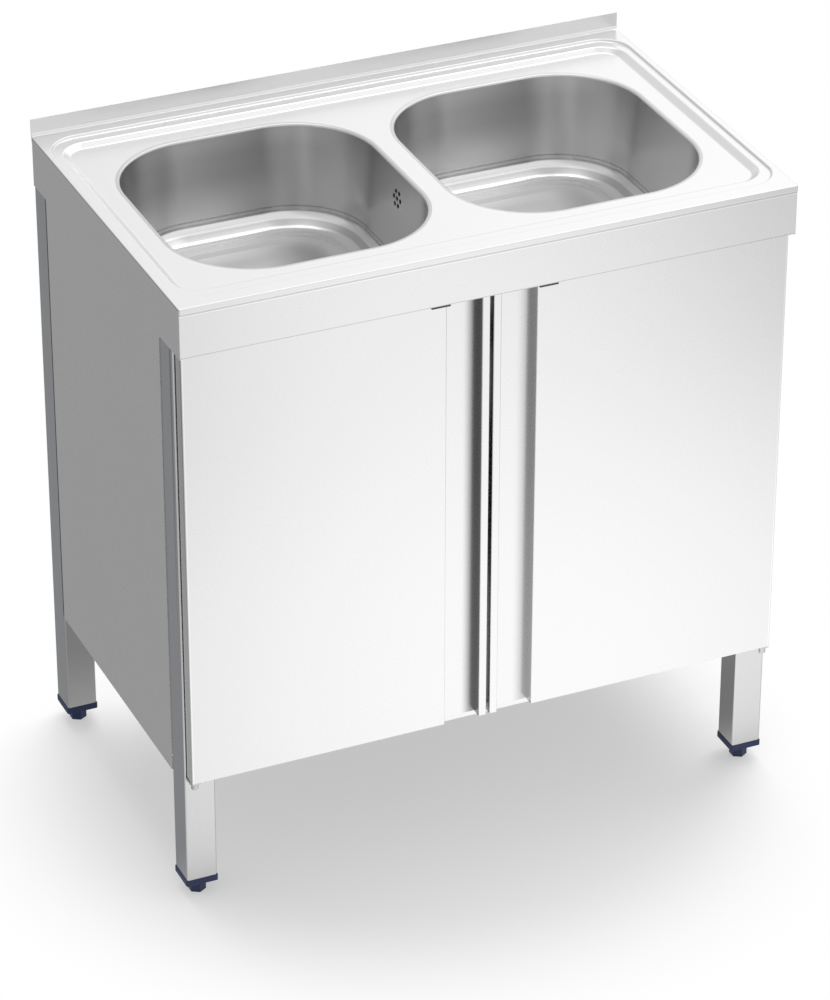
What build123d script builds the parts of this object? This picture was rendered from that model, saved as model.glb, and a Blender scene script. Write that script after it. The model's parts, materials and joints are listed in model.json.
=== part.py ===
"""Kitchen sink unit: a pressed two-bowl steel top on a cabinet with two hinged doors and four
adjustable feet. Millimetres, +Z up, the doors face -Y, origin on the floor under the middle."""

from build123d import *
import math
import os

os.makedirs("parts", exist_ok=True)

# ---- Driving dimensions ----------------------------------------------------------------------
WIDTH, DEPTH = 800.0, 500.0          # outline of the sink top
RIM_Z = 841.0                        # top of the rim, feet screwed right in
SHEET = 1.0                          # folded cabinet sheet
TOP_SHEET = 1.2                      # pressed sink top
TOUCH = 0.3                          # air between pieces that move past each other
SLIP = 0.2                           # air round a sheet that is slid into place

LEG, LEG_WALL, LEG_INSET = 40.0, 1.5, 1.5
LEG_CORNER, LEG_BOTTOM_Z = 2.5, 27.7
CAP_FLANGE, CAP_PROUD, CAP_PLUG, PLUG_FIT, CAP_BEVEL = 8.2, 1.0, 26.0, 0.15, 1.5
FOOT_FLATS, STEM_R, STEM_FIT, FOOT_TRAVEL = 20.0, 5.0, 0.05, 25.0
FOOT_BEVEL, STEM_BEVEL = 0.6, 1.0

FOLD, FOLD_R = 8.0, 1.1              # rim fold and its bend
APRON_INSET, APRON_RETURN = 0.8, 26.0  # setback behind the rim fold, and the folded bottom edge
APRON_BOTTOM_Z, SKIRT_BOTTOM_Z = 775.6, 774.0
PANEL_BOTTOM_Z = 170.0
UPSTAND, UPSTAND_COVE = 23.0, 3.0

STEP_DROP, SLOPE_DROP = 3.0, 5.5     # two pressed steps that drain the top towards the bowls
STEP_SIDE, STEP_FRONT, STEP_REAR = 8.5, 22.0, 19.0
STEP_RUN, SLOPE_RUN, STEP_CORNER = 1.5, 8.0, 40.0
SLOPE_SIDE, SLOPE_FRONT, SLOPE_REAR, SLOPE_CORNER = 19.0, 41.0, 35.6, 34.0

BOWL_X, BOWL_WIDTH, BOWL_DEPTH, BOWL_CORNER = 181.3, 326.0, 356.0, 109.0
BOWL_EDGE_DEPTH, DISH_DROP, BOWL_DRAFT = 130.5, 11.0, 5.5
LIP_R, FLOOR_R, LIP_LAND = 5.0, 25.0, 5.5
DRAIN_SEAT_R, DRAIN_HOLE_R = 38.0, 26.0
OVERFLOW_Y, OVERFLOW_Z, OVERFLOW_PITCH, OVERFLOW_R = -8.0, 797.3, 9.4, 3.0
OVERFLOW_CUT = 20.0

DOOR_FRONT_Y, DOOR_THICK, DOOR_BOTTOM_Z, DOOR_TOP_Z = -240.0, 17.0, 182.5, 772.5
DOOR_OUTER_X, DOOR_INNER_X, DOOR_LIP, GRIP_OUTER_X, GRIP_DEPTH = 395.3, 2.3, 10.2, 59.0, 14.5
PIVOT_X, PIVOT_Y, PIN_R, PIN_FIT, PIN_REACH = 389.5, -232.0, 3.0, 0.05, 12.0
BRACKET_THICK, BRACKET_FRONT_Y, BRACKET_CORNER = 2.0, -238.6, 3.0
BRACKET_INNER, BRACKET_OUTER = 6.6, 7.2  # the bracket's reach on either side of its pin
PIN_HEAD_R, PIN_HEAD = 4.5, 8.5
BUSH_R, BUSH_FLANGE_R, BUSH_FLANGE, BUSH_LENGTH, BUSH_BORE = 4.6, 5.5, 0.7, 14.0, 13.0
SKIN_BEND = 1.2

LINER_FLANGE, LINER_CLEAR = 8.0, 6.0

CATCH_X0, CATCH_LENGTH, CATCH_WIDTH, CATCH_THICK, CATCH_BEVEL = 58.0, 24.5, 22.0, 2.2, 0.5
CATCH_SCREW_XS, CATCH_SCREW_Y, CATCH_SCREW_R = (62.0, 78.5), -236.0, 2.5
STRIKE_THICK, STRIKE_INSET = 0.6, 2.0
SHELF_Z, SHELF_LIP, SHELF_LIP_GAP, NOTCH_GAP = 190.0, 18.0, 1.0, 0.4

NEAR = 0.01                          # tolerance for picking edges by their place
THROUGH = 5.0                        # how far a cut runs past the sheet that it opens

# ---- Places worked out from them -------------------------------------------------------------
SINK_UNDER_Z = RIM_Z - FOLD
DECK_Z = RIM_Z - STEP_DROP - SLOPE_DROP
DECK_UNDER_Z = DECK_Z - TOP_SHEET
FLOOR_EDGE_Z = DECK_Z - BOWL_EDGE_DEPTH
DRAIN_Z = FLOOR_EDGE_Z - DISH_DROP
PANEL_X = WIDTH / 2 - SHEET / 2      # outer plane of the side panels
LEG_OUTER_X = WIDTH / 2 - LEG_INSET
LEG_X = LEG_OUTER_X - LEG / 2
LEG_INNER_X = LEG_OUTER_X - LEG
FRONT_LEG_Y, REAR_LEG_Y = -200.5, 229.0
FRONT_LEG_FACE_Y = FRONT_LEG_Y - LEG / 2
LEG_TOP_Z = DECK_UNDER_Z - TOUCH
APRON_Y = -DEPTH / 2 + APRON_INSET
SKIRT_REAR_Y = DEPTH / 2 - TOP_SHEET
BACK_Y = DEPTH / 2 - 2 * SHEET       # outer plane of the back panel
DOOR_REAR_Y = DOOR_FRONT_Y + DOOR_THICK
CAP_BOTTOM_Z = LEG_BOTTOM_Z - CAP_FLANGE
CATCH_Z = APRON_BOTTOM_Z - CATCH_THICK
LEG_PLACES = {
    "front_left": (-LEG_X, FRONT_LEG_Y), "front_right": (LEG_X, FRONT_LEG_Y),
    "rear_left": (-LEG_X, REAR_LEG_Y), "rear_right": (LEG_X, REAR_LEG_Y),
}
SIDES = {"left": -1, "right": 1}


def save(piece, name):
    """Write one finished piece under its own name."""
    piece.label = name
    export_step(piece, f"parts/{name}.step")


def level(z, x=0.0, y=0.0):
    """A horizontal drawing plane at height z."""
    return Plane((x, y, z), x_dir=(1, 0, 0), z_dir=(0, 0, 1))


def block(x0, x1, y0, y1, z0, z1, mode=Mode.ADD):
    """A plain block between two corners, inside the current part."""
    with BuildSketch(level(z0, (x0 + x1) / 2, (y0 + y1) / 2)) as outline:
        Rectangle(abs(x1 - x0), abs(y1 - y0))
    extrude(outline.sketch, amount=z1 - z0, mode=mode)


def disc(x, y, z0, z1, radius, mode=Mode.ADD):
    """An upright round bar, or a hole with Mode.SUBTRACT, inside the current part."""
    with BuildSketch(level(z0, x, y)) as outline:
        Circle(radius)
    extrude(outline.sketch, amount=z1 - z0, mode=mode)


# ---- Sink top --------------------------------------------------------------------------------
BOWL_LAND = (BOWL_WIDTH + 2 * LIP_LAND, BOWL_DEPTH + 2 * LIP_LAND, BOWL_CORNER + LIP_LAND)


def stepped_hollow(lower):
    """The air above the pressed steps, moved down by lower to give the sheet's underside."""
    step = (STEP_SIDE, STEP_FRONT, STEP_REAR, STEP_CORNER, STEP_DROP, STEP_RUN)
    slope = (SLOPE_SIDE, SLOPE_FRONT, SLOPE_REAR, SLOPE_CORNER, SLOPE_DROP, SLOPE_RUN)
    top_z = RIM_Z - lower
    with BuildPart() as hollow:
        for edge_side, edge_front, edge_rear, corner, drop, run in (step, slope):
            with BuildSketch(level(top_z, 0, (edge_front - edge_rear) / 2)):
                RectangleRounded(WIDTH - 2 * edge_side, DEPTH - edge_front - edge_rear, corner)
            extrude(amount=-drop, taper=math.degrees(math.atan2(run, drop)))
            top_z -= drop
    return hollow.part


with BuildPart() as sink_top:
    block(-WIDTH / 2, WIDTH / 2, -DEPTH / 2, DEPTH / 2, RIM_Z - TOP_SHEET, RIM_Z)
    add(stepped_hollow(TOP_SHEET))
    add(stepped_hollow(0), mode=Mode.SUBTRACT)
    for sign in SIDES.values():
        with BuildSketch(level(DECK_Z - THROUGH, sign * BOWL_X)):
            RectangleRounded(*BOWL_LAND)
        extrude(amount=2 * THROUGH, mode=Mode.SUBTRACT)
        side_x = sign * WIDTH / 2
        block(side_x, side_x - sign * TOP_SHEET, -DEPTH / 2, DEPTH / 2, SINK_UNDER_Z, RIM_Z)
    block(-WIDTH / 2, WIDTH / 2, -DEPTH / 2, -DEPTH / 2 + TOP_SHEET, SINK_UNDER_Z, RIM_Z)
    block(-WIDTH / 2, WIDTH / 2, DEPTH / 2 - TOP_SHEET, DEPTH / 2, SINK_UNDER_Z, RIM_Z + UPSTAND)
    lines = sink_top.edges().filter_by(Axis.X)
    front_line = lines.filter_by_position(Axis.Y, -DEPTH / 2 - NEAR, -DEPTH / 2 + NEAR)
    fillet(front_line.sort_by(Axis.Z)[-1], FOLD_R)
    upstand_face_y = DEPTH / 2 - TOP_SHEET
    lines = sink_top.edges().filter_by(Axis.X).filter_by_position(Axis.Z, RIM_Z - NEAR, RIM_Z + NEAR)
    fillet(lines.filter_by_position(Axis.Y, upstand_face_y - NEAR, upstand_face_y + NEAR), UPSTAND_COVE)
save(sink_top.part, "sink_top")


# ---- Bowls -----------------------------------------------------------------------------------
def bowl_form(x, grow):
    """Everything inside a bowl's face, pushed outwards by grow: lip, drafted wall, dished floor."""
    width, depth, corner = BOWL_WIDTH + 2 * grow, BOWL_DEPTH + 2 * grow, BOWL_CORNER + grow
    shrink = BOWL_EDGE_DEPTH * math.tan(math.radians(BOWL_DRAFT)) + FLOOR_R
    top_z = DECK_Z - grow
    with BuildPart() as form:
        with BuildSketch(level(top_z, x)):
            RectangleRounded(width, depth, corner)
        extrude(amount=-BOWL_EDGE_DEPTH, taper=BOWL_DRAFT)
        fillet(form.edges().group_by(Axis.Z)[0], FLOOR_R + grow)
        with BuildSketch(level(top_z, x)):
            RectangleRounded(*BOWL_LAND)
        extrude(amount=2 * TOP_SHEET)
        mouth = form.edges().filter_by_position(Axis.Z, top_z - NEAR, top_z + NEAR)
        fillet([edge for edge in mouth if in_outline(edge, x, width, depth)], LIP_R - grow)
        with BuildSketch(level(FLOOR_EDGE_Z - grow, x)):
            RectangleRounded(BOWL_WIDTH - 2 * shrink, BOWL_DEPTH - 2 * shrink, BOWL_CORNER - shrink)
        with BuildSketch(level(DRAIN_Z - grow, x)):
            Circle(DRAIN_SEAT_R)
        loft(ruled=True)
    return form.part


def in_outline(edge, x, width, depth):
    """True for an edge of the bowl's own outline, false for the wider outline of its flat land."""
    box = edge.bounding_box()
    reach_x = max(abs(box.min.X - x), abs(box.max.X - x))
    reach_y = max(abs(box.min.Y), abs(box.max.Y))
    return reach_x < (width + LIP_LAND) / 2 and reach_y < (depth + LIP_LAND) / 2


bowls = {}
for side, sign in SIDES.items():
    bowl_x = sign * BOWL_X
    with BuildPart() as bowl:
        add(bowl_form(bowl_x, TOP_SHEET))
        block(bowl_x - BOWL_WIDTH, bowl_x + BOWL_WIDTH, -BOWL_DEPTH, BOWL_DEPTH,
              DECK_Z, DECK_Z + 4 * TOP_SHEET, mode=Mode.SUBTRACT)
        add(bowl_form(bowl_x, 0), mode=Mode.SUBTRACT)
        disc(bowl_x, 0, DRAIN_Z - THROUGH, DRAIN_Z + THROUGH, DRAIN_HOLE_R, mode=Mode.SUBTRACT)
        inner_wall_x = sign * (BOWL_X - BOWL_WIDTH / 2 + OVERFLOW_CUT / 2)
        wall_plane = Plane((inner_wall_x, OVERFLOW_Y, OVERFLOW_Z), x_dir=(0, 1, 0), z_dir=(-sign, 0, 0))
        with BuildSketch(wall_plane):
            Circle(OVERFLOW_R)
            with PolarLocations(OVERFLOW_PITCH, 6):
                Circle(OVERFLOW_R)
        extrude(amount=OVERFLOW_CUT, mode=Mode.SUBTRACT)
    bowls[side] = bowl.part
    save(bowl.part, f"bowl_{side}")


# ---- Cabinet sheets --------------------------------------------------------------------------
with BuildPart() as front_apron:
    block(-PANEL_X, PANEL_X, APRON_Y, APRON_Y + SHEET, APRON_BOTTOM_Z, SINK_UNDER_Z)
    block(-PANEL_X + SHEET, PANEL_X - SHEET, APRON_Y, APRON_Y + APRON_RETURN,
          APRON_BOTTOM_Z, APRON_BOTTOM_Z + SHEET)
save(front_apron.part, "front_apron")

PANEL_RETURN, PANEL_GAP = 12.0, 3.7  # folded inner edges, and the gap in front of the rear leg
PANEL_FRONT_Y = FRONT_LEG_Y + LEG / 2
PANEL_REAR_Y = REAR_LEG_Y - LEG / 2 - PANEL_GAP
for side, sign in SIDES.items():
    outer, inner = sign * PANEL_X, sign * (PANEL_X - SHEET)
    folded = sign * (PANEL_X - PANEL_RETURN)
    with BuildPart() as side_panel:
        block(outer, inner, APRON_Y + SHEET, SKIRT_REAR_Y, SKIRT_BOTTOM_Z, SINK_UNDER_Z)
        block(outer, inner, PANEL_FRONT_Y, PANEL_REAR_Y, PANEL_BOTTOM_Z, SINK_UNDER_Z)
        block(outer, folded, PANEL_FRONT_Y, PANEL_REAR_Y, PANEL_BOTTOM_Z, PANEL_BOTTOM_Z + SHEET)
        block(outer, folded, PANEL_REAR_Y - SHEET, PANEL_REAR_Y, SHELF_Z + TOUCH, SKIRT_BOTTOM_Z)
    save(side_panel.part, f"side_panel_{side}")

ACCESS_WIDTH, ACCESS_Z0, ACCESS_Z1, ACCESS_CORNER = 560.0, 330.0, 640.0, 30.0
access_plane = Plane((0, BACK_Y, (ACCESS_Z0 + ACCESS_Z1) / 2), x_dir=(1, 0, 0), z_dir=(0, -1, 0))
with BuildPart() as back_panel:
    block(-LEG_INNER_X, LEG_INNER_X, BACK_Y - SHEET, BACK_Y, PANEL_BOTTOM_Z, SINK_UNDER_Z)
    block(-LEG_INNER_X, LEG_INNER_X, BACK_Y - PANEL_RETURN, BACK_Y,
          PANEL_BOTTOM_Z, PANEL_BOTTOM_Z + SHEET)
    with BuildSketch(access_plane):
        RectangleRounded(ACCESS_WIDTH, ACCESS_Z1 - ACCESS_Z0, ACCESS_CORNER)
    extrude(amount=THROUGH, both=True, mode=Mode.SUBTRACT)
save(back_panel.part, "back_panel")

SHELF_X, SHELF_LIP_X = PANEL_X - SHEET - SLIP, LEG_INNER_X - SHELF_LIP_GAP
SHELF_FRONT_Y, SHELF_REAR_Y = FRONT_LEG_FACE_Y + SHEET, BACK_Y - SHEET - SLIP
REAR_LIP_Y = SHELF_REAR_Y - PANEL_RETURN
NOTCH = LEG / 2 + NOTCH_GAP
with BuildPart() as bottom_shelf:
    block(-SHELF_X, SHELF_X, SHELF_FRONT_Y, SHELF_REAR_Y, SHELF_Z - SHEET, SHELF_Z)
    for lip_y in (SHELF_FRONT_Y, REAR_LIP_Y - SHEET):
        block(-SHELF_LIP_X, SHELF_LIP_X, lip_y, lip_y + SHEET, SHELF_Z - SHELF_LIP, SHELF_Z)
    for x, y in LEG_PLACES.values():
        block(x - NOTCH, x + NOTCH, y - NOTCH, y + NOTCH,
              SHELF_Z - THROUGH, SHELF_Z + THROUGH, mode=Mode.SUBTRACT)
save(bottom_shelf.part, "bottom_shelf")


def channel(length, width, height, plane):
    """A folded U-channel along the plane's normal, its open side towards the plane's +Y."""
    with BuildPart() as rail:
        with BuildSketch(plane):
            with Locations((0, -height / 2)):
                Rectangle(width, height)
            with Locations((0, (SHEET - height) / 2)):
                Rectangle(width - 2 * SHEET, height - SHEET, mode=Mode.SUBTRACT)
        extrude(amount=length)
    return rail.part


def along_x(x, y, z):
    """Drawing plane whose normal is +X and whose +Y is up."""
    return Plane((x, y, z), x_dir=(0, 1, 0), z_dir=(1, 0, 0))


RAIL_WIDTH, RAIL_HEIGHT = 24.0, 30.0
FRONT_RAIL_Y, REAR_RAIL_Y = -202.0, BACK_Y - SHEET - RAIL_WIDTH / 2
for name, y in (("front_rail", FRONT_RAIL_Y), ("rear_rail", REAR_RAIL_Y)):
    rail_plane = along_x(-LEG_INNER_X, y, DECK_UNDER_Z)
    save(channel(2 * LEG_INNER_X, RAIL_WIDTH, RAIL_HEIGHT, rail_plane), name)

SPINE_WIDTH, SPINE_HEIGHT, SPINE_FRONT_Y = 20.0, 16.0, FRONT_RAIL_Y + RAIL_WIDTH / 2
spine_plane = Plane((0, SPINE_FRONT_Y, DECK_UNDER_Z), x_dir=(-1, 0, 0), z_dir=(0, 1, 0))
spine_length = REAR_RAIL_Y - RAIL_WIDTH / 2 - SPINE_FRONT_Y
save(channel(spine_length, SPINE_WIDTH, SPINE_HEIGHT, spine_plane), "centre_stiffener")

STIFFENER_WIDTH, STIFFENER_HEIGHT, STIFFENER_REACH, STIFFENER_Y = 90.0, 16.0, 350.0, 15.0
stiffener_plane = along_x(-STIFFENER_REACH, STIFFENER_Y, SHELF_Z - SHEET)
shelf_stiffener = channel(2 * STIFFENER_REACH, STIFFENER_WIDTH, STIFFENER_HEIGHT, stiffener_plane)
save(shelf_stiffener, "shelf_stiffener")

# ---- Legs and feet ---------------------------------------------------------------------------
LEG_BORE = LEG - 2 * LEG_WALL
PLUG = LEG_BORE - 2 * PLUG_FIT
FOOT_HEIGHT = CAP_BOTTOM_Z - TOUCH
STEM_TOP_Z = LEG_BOTTOM_Z + CAP_PLUG + FOOT_TRAVEL
for name, (x, y) in LEG_PLACES.items():
    with BuildPart() as leg:
        with BuildSketch(level(LEG_BOTTOM_Z, x, y)):
            RectangleRounded(LEG, LEG, LEG_CORNER)
            RectangleRounded(LEG_BORE, LEG_BORE, LEG_CORNER - LEG_WALL, mode=Mode.SUBTRACT)
        extrude(amount=LEG_TOP_Z - LEG_BOTTOM_Z)
    save(leg.part, f"leg_{name}")

    with BuildPart() as leg_cap:
        with BuildSketch(level(CAP_BOTTOM_Z, x, y)):
            RectangleRounded(LEG + 2 * CAP_PROUD, LEG + 2 * CAP_PROUD, LEG_CORNER)
        extrude(amount=CAP_FLANGE)
        with BuildSketch(level(LEG_BOTTOM_Z, x, y)):
            RectangleRounded(PLUG, PLUG, LEG_CORNER)
        extrude(amount=CAP_PLUG)
        chamfer(leg_cap.edges().group_by(Axis.Z)[-1], CAP_BEVEL)
        disc(x, y, CAP_BOTTOM_Z, LEG_BOTTOM_Z + CAP_PLUG, STEM_R + STEM_FIT, mode=Mode.SUBTRACT)
    save(leg_cap.part, f"leg_cap_{name}")

    with BuildPart() as foot:
        with BuildSketch(level(0, x, y)):
            RegularPolygon(FOOT_FLATS / 2, 6, major_radius=False, rotation=30)
        extrude(amount=FOOT_HEIGHT)
        chamfer(foot.edges().group_by(Axis.Z)[0], FOOT_BEVEL)
        disc(x, y, FOOT_HEIGHT, STEM_TOP_Z, STEM_R)
        chamfer(foot.edges().group_by(Axis.Z)[-1], STEM_BEVEL)
    save(foot.part, f"foot_{name}")

# ---- Doors -----------------------------------------------------------------------------------
def door_outline(sign):
    """Plan of a door: main panel, deep grip channel, narrow lip at the meeting edge."""
    lip_x = DOOR_INNER_X + DOOR_LIP
    grip_y = DOOR_FRONT_Y + GRIP_DEPTH
    plan = (
        (DOOR_OUTER_X, DOOR_REAR_Y), (DOOR_OUTER_X, DOOR_FRONT_Y), (GRIP_OUTER_X, DOOR_FRONT_Y),
        (GRIP_OUTER_X, grip_y), (lip_x, grip_y), (lip_x, DOOR_FRONT_Y), (DOOR_INNER_X, DOOR_FRONT_Y),
        (DOOR_INNER_X, DOOR_REAR_Y),
    )
    return [(sign * x, y) for x, y in plan]


for side, sign in SIDES.items():
    pivot_x = sign * PIVOT_X
    edge_x, liner_z0, liner_z1 = sign * (DOOR_OUTER_X - SHEET), DOOR_BOTTOM_Z + SHEET, DOOR_TOP_Z - SHEET
    liner_y = DOOR_REAR_Y - SHEET
    seat = (edge_x, sign * (DOOR_INNER_X + SHEET), liner_y, DOOR_REAR_Y, liner_z0, liner_z1)
    with BuildPart() as door_skin:
        with BuildSketch(level(DOOR_BOTTOM_Z)) as plan:
            with BuildLine():
                Polyline(*door_outline(sign), close=True)
            make_face()
            corners = plan.vertices().filter_by_position(Axis.Y, DOOR_FRONT_Y - NEAR, DOOR_FRONT_Y + NEAR)
            fillet(corners, SKIN_BEND)
        extrude(amount=DOOR_TOP_Z - DOOR_BOTTOM_Z)
        with BuildSketch(level(DOOR_BOTTOM_Z + SHEET)) as core:
            with BuildLine():
                Polyline(*door_outline(sign), close=True)
            make_face()
            offset(amount=-SHEET, kind=Kind.INTERSECTION, mode=Mode.REPLACE)
        extrude(amount=DOOR_TOP_Z - DOOR_BOTTOM_Z - 2 * SHEET, mode=Mode.SUBTRACT)
        block(*seat, mode=Mode.SUBTRACT)
        for z in (DOOR_BOTTOM_Z, DOOR_TOP_Z):
            disc(pivot_x, PIVOT_Y, z - THROUGH, z + THROUGH, BUSH_R, mode=Mode.SUBTRACT)
    save(door_skin.part, f"door_skin_{side}")

    with BuildPart() as door_liner:
        block(*seat)
        rim_x = sign * (GRIP_OUTER_X + LINER_CLEAR)
        for z0 in (liner_z0, liner_z1 - SHEET):
            block(edge_x, rim_x, liner_y - LINER_FLANGE, liner_y, z0, z0 + SHEET)
        disc(pivot_x, PIVOT_Y, DOOR_BOTTOM_Z, DOOR_TOP_Z, BUSH_R, mode=Mode.SUBTRACT)
    save(door_liner.part, f"door_liner_{side}")

    with BuildPart() as pivot_bushes:
        for face_z, inward in ((DOOR_BOTTOM_Z, 1), (DOOR_TOP_Z, -1)):
            outer_z = face_z - inward * BUSH_FLANGE
            disc(pivot_x, PIVOT_Y, face_z, face_z + inward * BUSH_LENGTH, BUSH_R)
            disc(pivot_x, PIVOT_Y, face_z, outer_z, BUSH_FLANGE_R)
            disc(pivot_x, PIVOT_Y, outer_z, face_z + inward * BUSH_BORE, PIN_R + PIN_FIT, mode=Mode.SUBTRACT)
    save(pivot_bushes.part, f"pivot_bushes_{side}")

    with BuildPart() as strike_plate:
        block(sign * (CATCH_X0 + STRIKE_INSET), sign * (CATCH_X0 + CATCH_LENGTH),
              DOOR_FRONT_Y + STRIKE_INSET, DOOR_REAR_Y - STRIKE_INSET, DOOR_TOP_Z, DOOR_TOP_Z + STRIKE_THICK)
    save(strike_plate.part, f"strike_plate_{side}")

    with BuildPart() as magnetic_catch:
        block(sign * CATCH_X0, sign * (CATCH_X0 + CATCH_LENGTH), APRON_Y, APRON_Y + CATCH_WIDTH,
              CATCH_Z, APRON_BOTTOM_Z)
        chamfer(magnetic_catch.edges().filter_by(Axis.Z), CATCH_BEVEL)
        for x in CATCH_SCREW_XS:
            disc(sign * x, CATCH_SCREW_Y, CATCH_Z, APRON_BOTTOM_Z, CATCH_SCREW_R, mode=Mode.SUBTRACT)
    save(magnetic_catch.part, f"magnetic_catch_{side}")

# ---- Hinge brackets and pins -----------------------------------------------------------------
LOWER_TOP_Z = DOOR_BOTTOM_Z - BUSH_FLANGE - TOUCH
UPPER_BOTTOM_Z = DOOR_TOP_Z + BUSH_FLANGE + TOUCH
for level_name, z0, outward in (("lower", LOWER_TOP_Z, -1), ("upper", UPPER_BOTTOM_Z, 1)):
    with BuildPart() as brackets:
        for sign in SIDES.values():
            block(sign * (PIVOT_X - BRACKET_INNER), sign * (PIVOT_X + BRACKET_OUTER),
                  BRACKET_FRONT_Y, FRONT_LEG_FACE_Y, z0, z0 + outward * BRACKET_THICK)
        fillet(brackets.edges().filter_by(Axis.Z).group_by(Axis.Y)[0], BRACKET_CORNER)
        for sign in SIDES.values():
            disc(sign * PIVOT_X, PIVOT_Y, z0 - THROUGH, z0 + THROUGH, PIN_R, mode=Mode.SUBTRACT)
    save(brackets.part, f"hinge_brackets_{level_name}")

with BuildPart() as lower_pins:
    for sign in SIDES.values():
        head_top = LOWER_TOP_Z - BRACKET_THICK
        disc(sign * PIVOT_X, PIVOT_Y, head_top - PIN_HEAD, head_top, PIN_HEAD_R)
        disc(sign * PIVOT_X, PIVOT_Y, head_top, DOOR_BOTTOM_Z + PIN_REACH, PIN_R)
save(lower_pins.part, "hinge_pins_lower")

with BuildPart() as upper_pins:
    for sign in SIDES.values():
        disc(sign * PIVOT_X, PIVOT_Y, DOOR_TOP_Z - PIN_REACH, UPPER_BOTTOM_Z + BRACKET_THICK, PIN_R)
save(upper_pins.part, "hinge_pins_upper")

# ---- Small fittings --------------------------------------------------------------------------
with BuildPart() as catch_screws:
    for sign in SIDES.values():
        for x in CATCH_SCREW_XS:
            disc(sign * x, CATCH_SCREW_Y, CATCH_Z, APRON_BOTTOM_Z, CATCH_SCREW_R)
save(catch_screws.part, "catch_screws")


def rod(x, z, y0, y1, radius, mode=Mode.ADD):
    """A round bar along Y, inside the current part."""
    with BuildSketch(Plane((x, y0, z), x_dir=(-1, 0, 0), z_dir=(0, 1, 0))) as outline:
        Circle(radius)
    extrude(outline.sketch, amount=y1 - y0, mode=mode)


BUMPER_XS, BUMPER_R, BUMPER_BEVEL, BUMPER_Z = (30.0, 320.0), 3.0, 0.8, 186.5
with BuildPart() as door_bumpers:
    for sign in SIDES.values():
        for x in BUMPER_XS:
            rod(sign * x, BUMPER_Z, DOOR_REAR_Y + TOUCH, SHELF_FRONT_Y, BUMPER_R)
    chamfer(door_bumpers.faces().filter_by(Axis.Y).group_by(Axis.Y)[0].edges(), BUMPER_BEVEL)
save(door_bumpers.part, "door_bumpers")

PANEL_SCREW_XS, PANEL_SCREW_Z = (-320.0, -160.0, 0.0, 160.0, 320.0), 814.0
SCREW_HEAD_R, SCREW_HEAD, SCREW_DOME = 4.0, 1.6, 0.8
with BuildPart() as panel_screws:
    for x in PANEL_SCREW_XS:
        rod(x, PANEL_SCREW_Z, BACK_Y, BACK_Y + SCREW_HEAD, SCREW_HEAD_R)
    fillet(panel_screws.faces().filter_by(Axis.Y).group_by(Axis.Y)[-1].edges(), SCREW_DOME)
save(panel_screws.part, "panel_screws")

# ---- Waste fittings under each bowl ----------------------------------------------------------
FLANGE_R, FLANGE_THICK, FLANGE_BEVEL = 35.0, 1.2, 0.8
STRAINER_R, STRAINER_WALL, STRAINER_DEPTH = 25.7, 0.9, 15.0
GRID_THICK, GRID_HOLE_R, GRID_RING_R, GRID_HOLES = 1.5, 4.5, 15.0, 8
GASKET, BODY_FLANGE_R, BODY_FLANGE = 3.0, 36.0, 4.0
BODY_R, BODY_WALL, BODY_BOTTOM_Z, SPIGOT_BOTTOM_Z = 30.0, 3.0, 655.0, 630.0
PIPE_R, PIPE_WALL, SOCKET_WALL = 20.0, 2.4, 2.5
BOSS_R, BRIDGE_HALF, BRIDGE_RISE = 6.5, 1.5, 6.0
NIPPLE_R, NIPPLE_WALL, NIPPLE_Z, NIPPLE_ROOT, NIPPLE_REACH = 8.0, 2.0, 668.0, 2.5, 18.0
WASTE_SCREW_R, WASTE_SCREW_HEAD_R, WASTE_SCREW_HEAD = 3.0, 5.5, 2.2
HOSE_X, HOSE_WALL, HOSE_BEND, HOSE_START = 11.4, 2.0, 40.0, 4.0
COLLECTOR_X0, COLLECTOR_X1, COLLECTOR_HALF = 2.0, 26.0, 17.0
COLLECTOR_Z0, COLLECTOR_Z1, COLLECTOR_WALL, COLLECTOR_STUB = 781.0, 814.0, 2.0, 15.0
PLUG_R, PLUG_TOP_R, PLUG_GAP, PLUG_BEVEL = 22.0, 24.3, 3.3, 2.0
PLUG_SKIRT_TOP, PLUG_RIM_TOP, KNOB_TOP, KNOB_R = -1.0, 1.5, 9.0, 7.0
BOWL_UNDER_Z = DRAIN_Z - TOP_SHEET
GASKET_BOTTOM_Z = BOWL_UNDER_Z - GASKET
GRID_TOP_Z = DRAIN_Z - STRAINER_DEPTH
GRID_BOTTOM_Z = GRID_TOP_Z - GRID_THICK
BODY_UNDER_Z = BODY_BOTTOM_Z - BODY_WALL
PIPE_BORE_R = PIPE_R - PIPE_WALL
SOCKET_R = PIPE_R + SOCKET_WALL


def pipe_along(path, radius, wall):
    """A hollow round pipe along a path."""
    with BuildPart() as pipe:
        with BuildSketch(Plane(path @ 0, z_dir=path % 0)) as ring:
            Circle(radius)
            Circle(radius - wall, mode=Mode.SUBTRACT)
        sweep(ring.sketch, path=path)
    return pipe.part


def bent_route(points, bend):
    """Straight runs joined by one tangent arc at each corner."""
    with BuildLine() as route:
        FilletPolyline(*points, radius=bend)
    return route.wires()[0]


def stub(plane, radius, length, mode=Mode.ADD):
    """A round bar along the plane's normal, inside the current part."""
    with BuildSketch(plane) as outline:
        Circle(radius)
    extrude(outline.sketch, amount=length, mode=mode)


with BuildPart() as waste_gaskets:
    for sign in SIDES.values():
        disc(sign * BOWL_X, 0, GASKET_BOTTOM_Z, BOWL_UNDER_Z, FLANGE_R)
        disc(sign * BOWL_X, 0, GASKET_BOTTOM_Z, BOWL_UNDER_Z, DRAIN_HOLE_R, mode=Mode.SUBTRACT)
save(waste_gaskets.part, "waste_gaskets")

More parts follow.
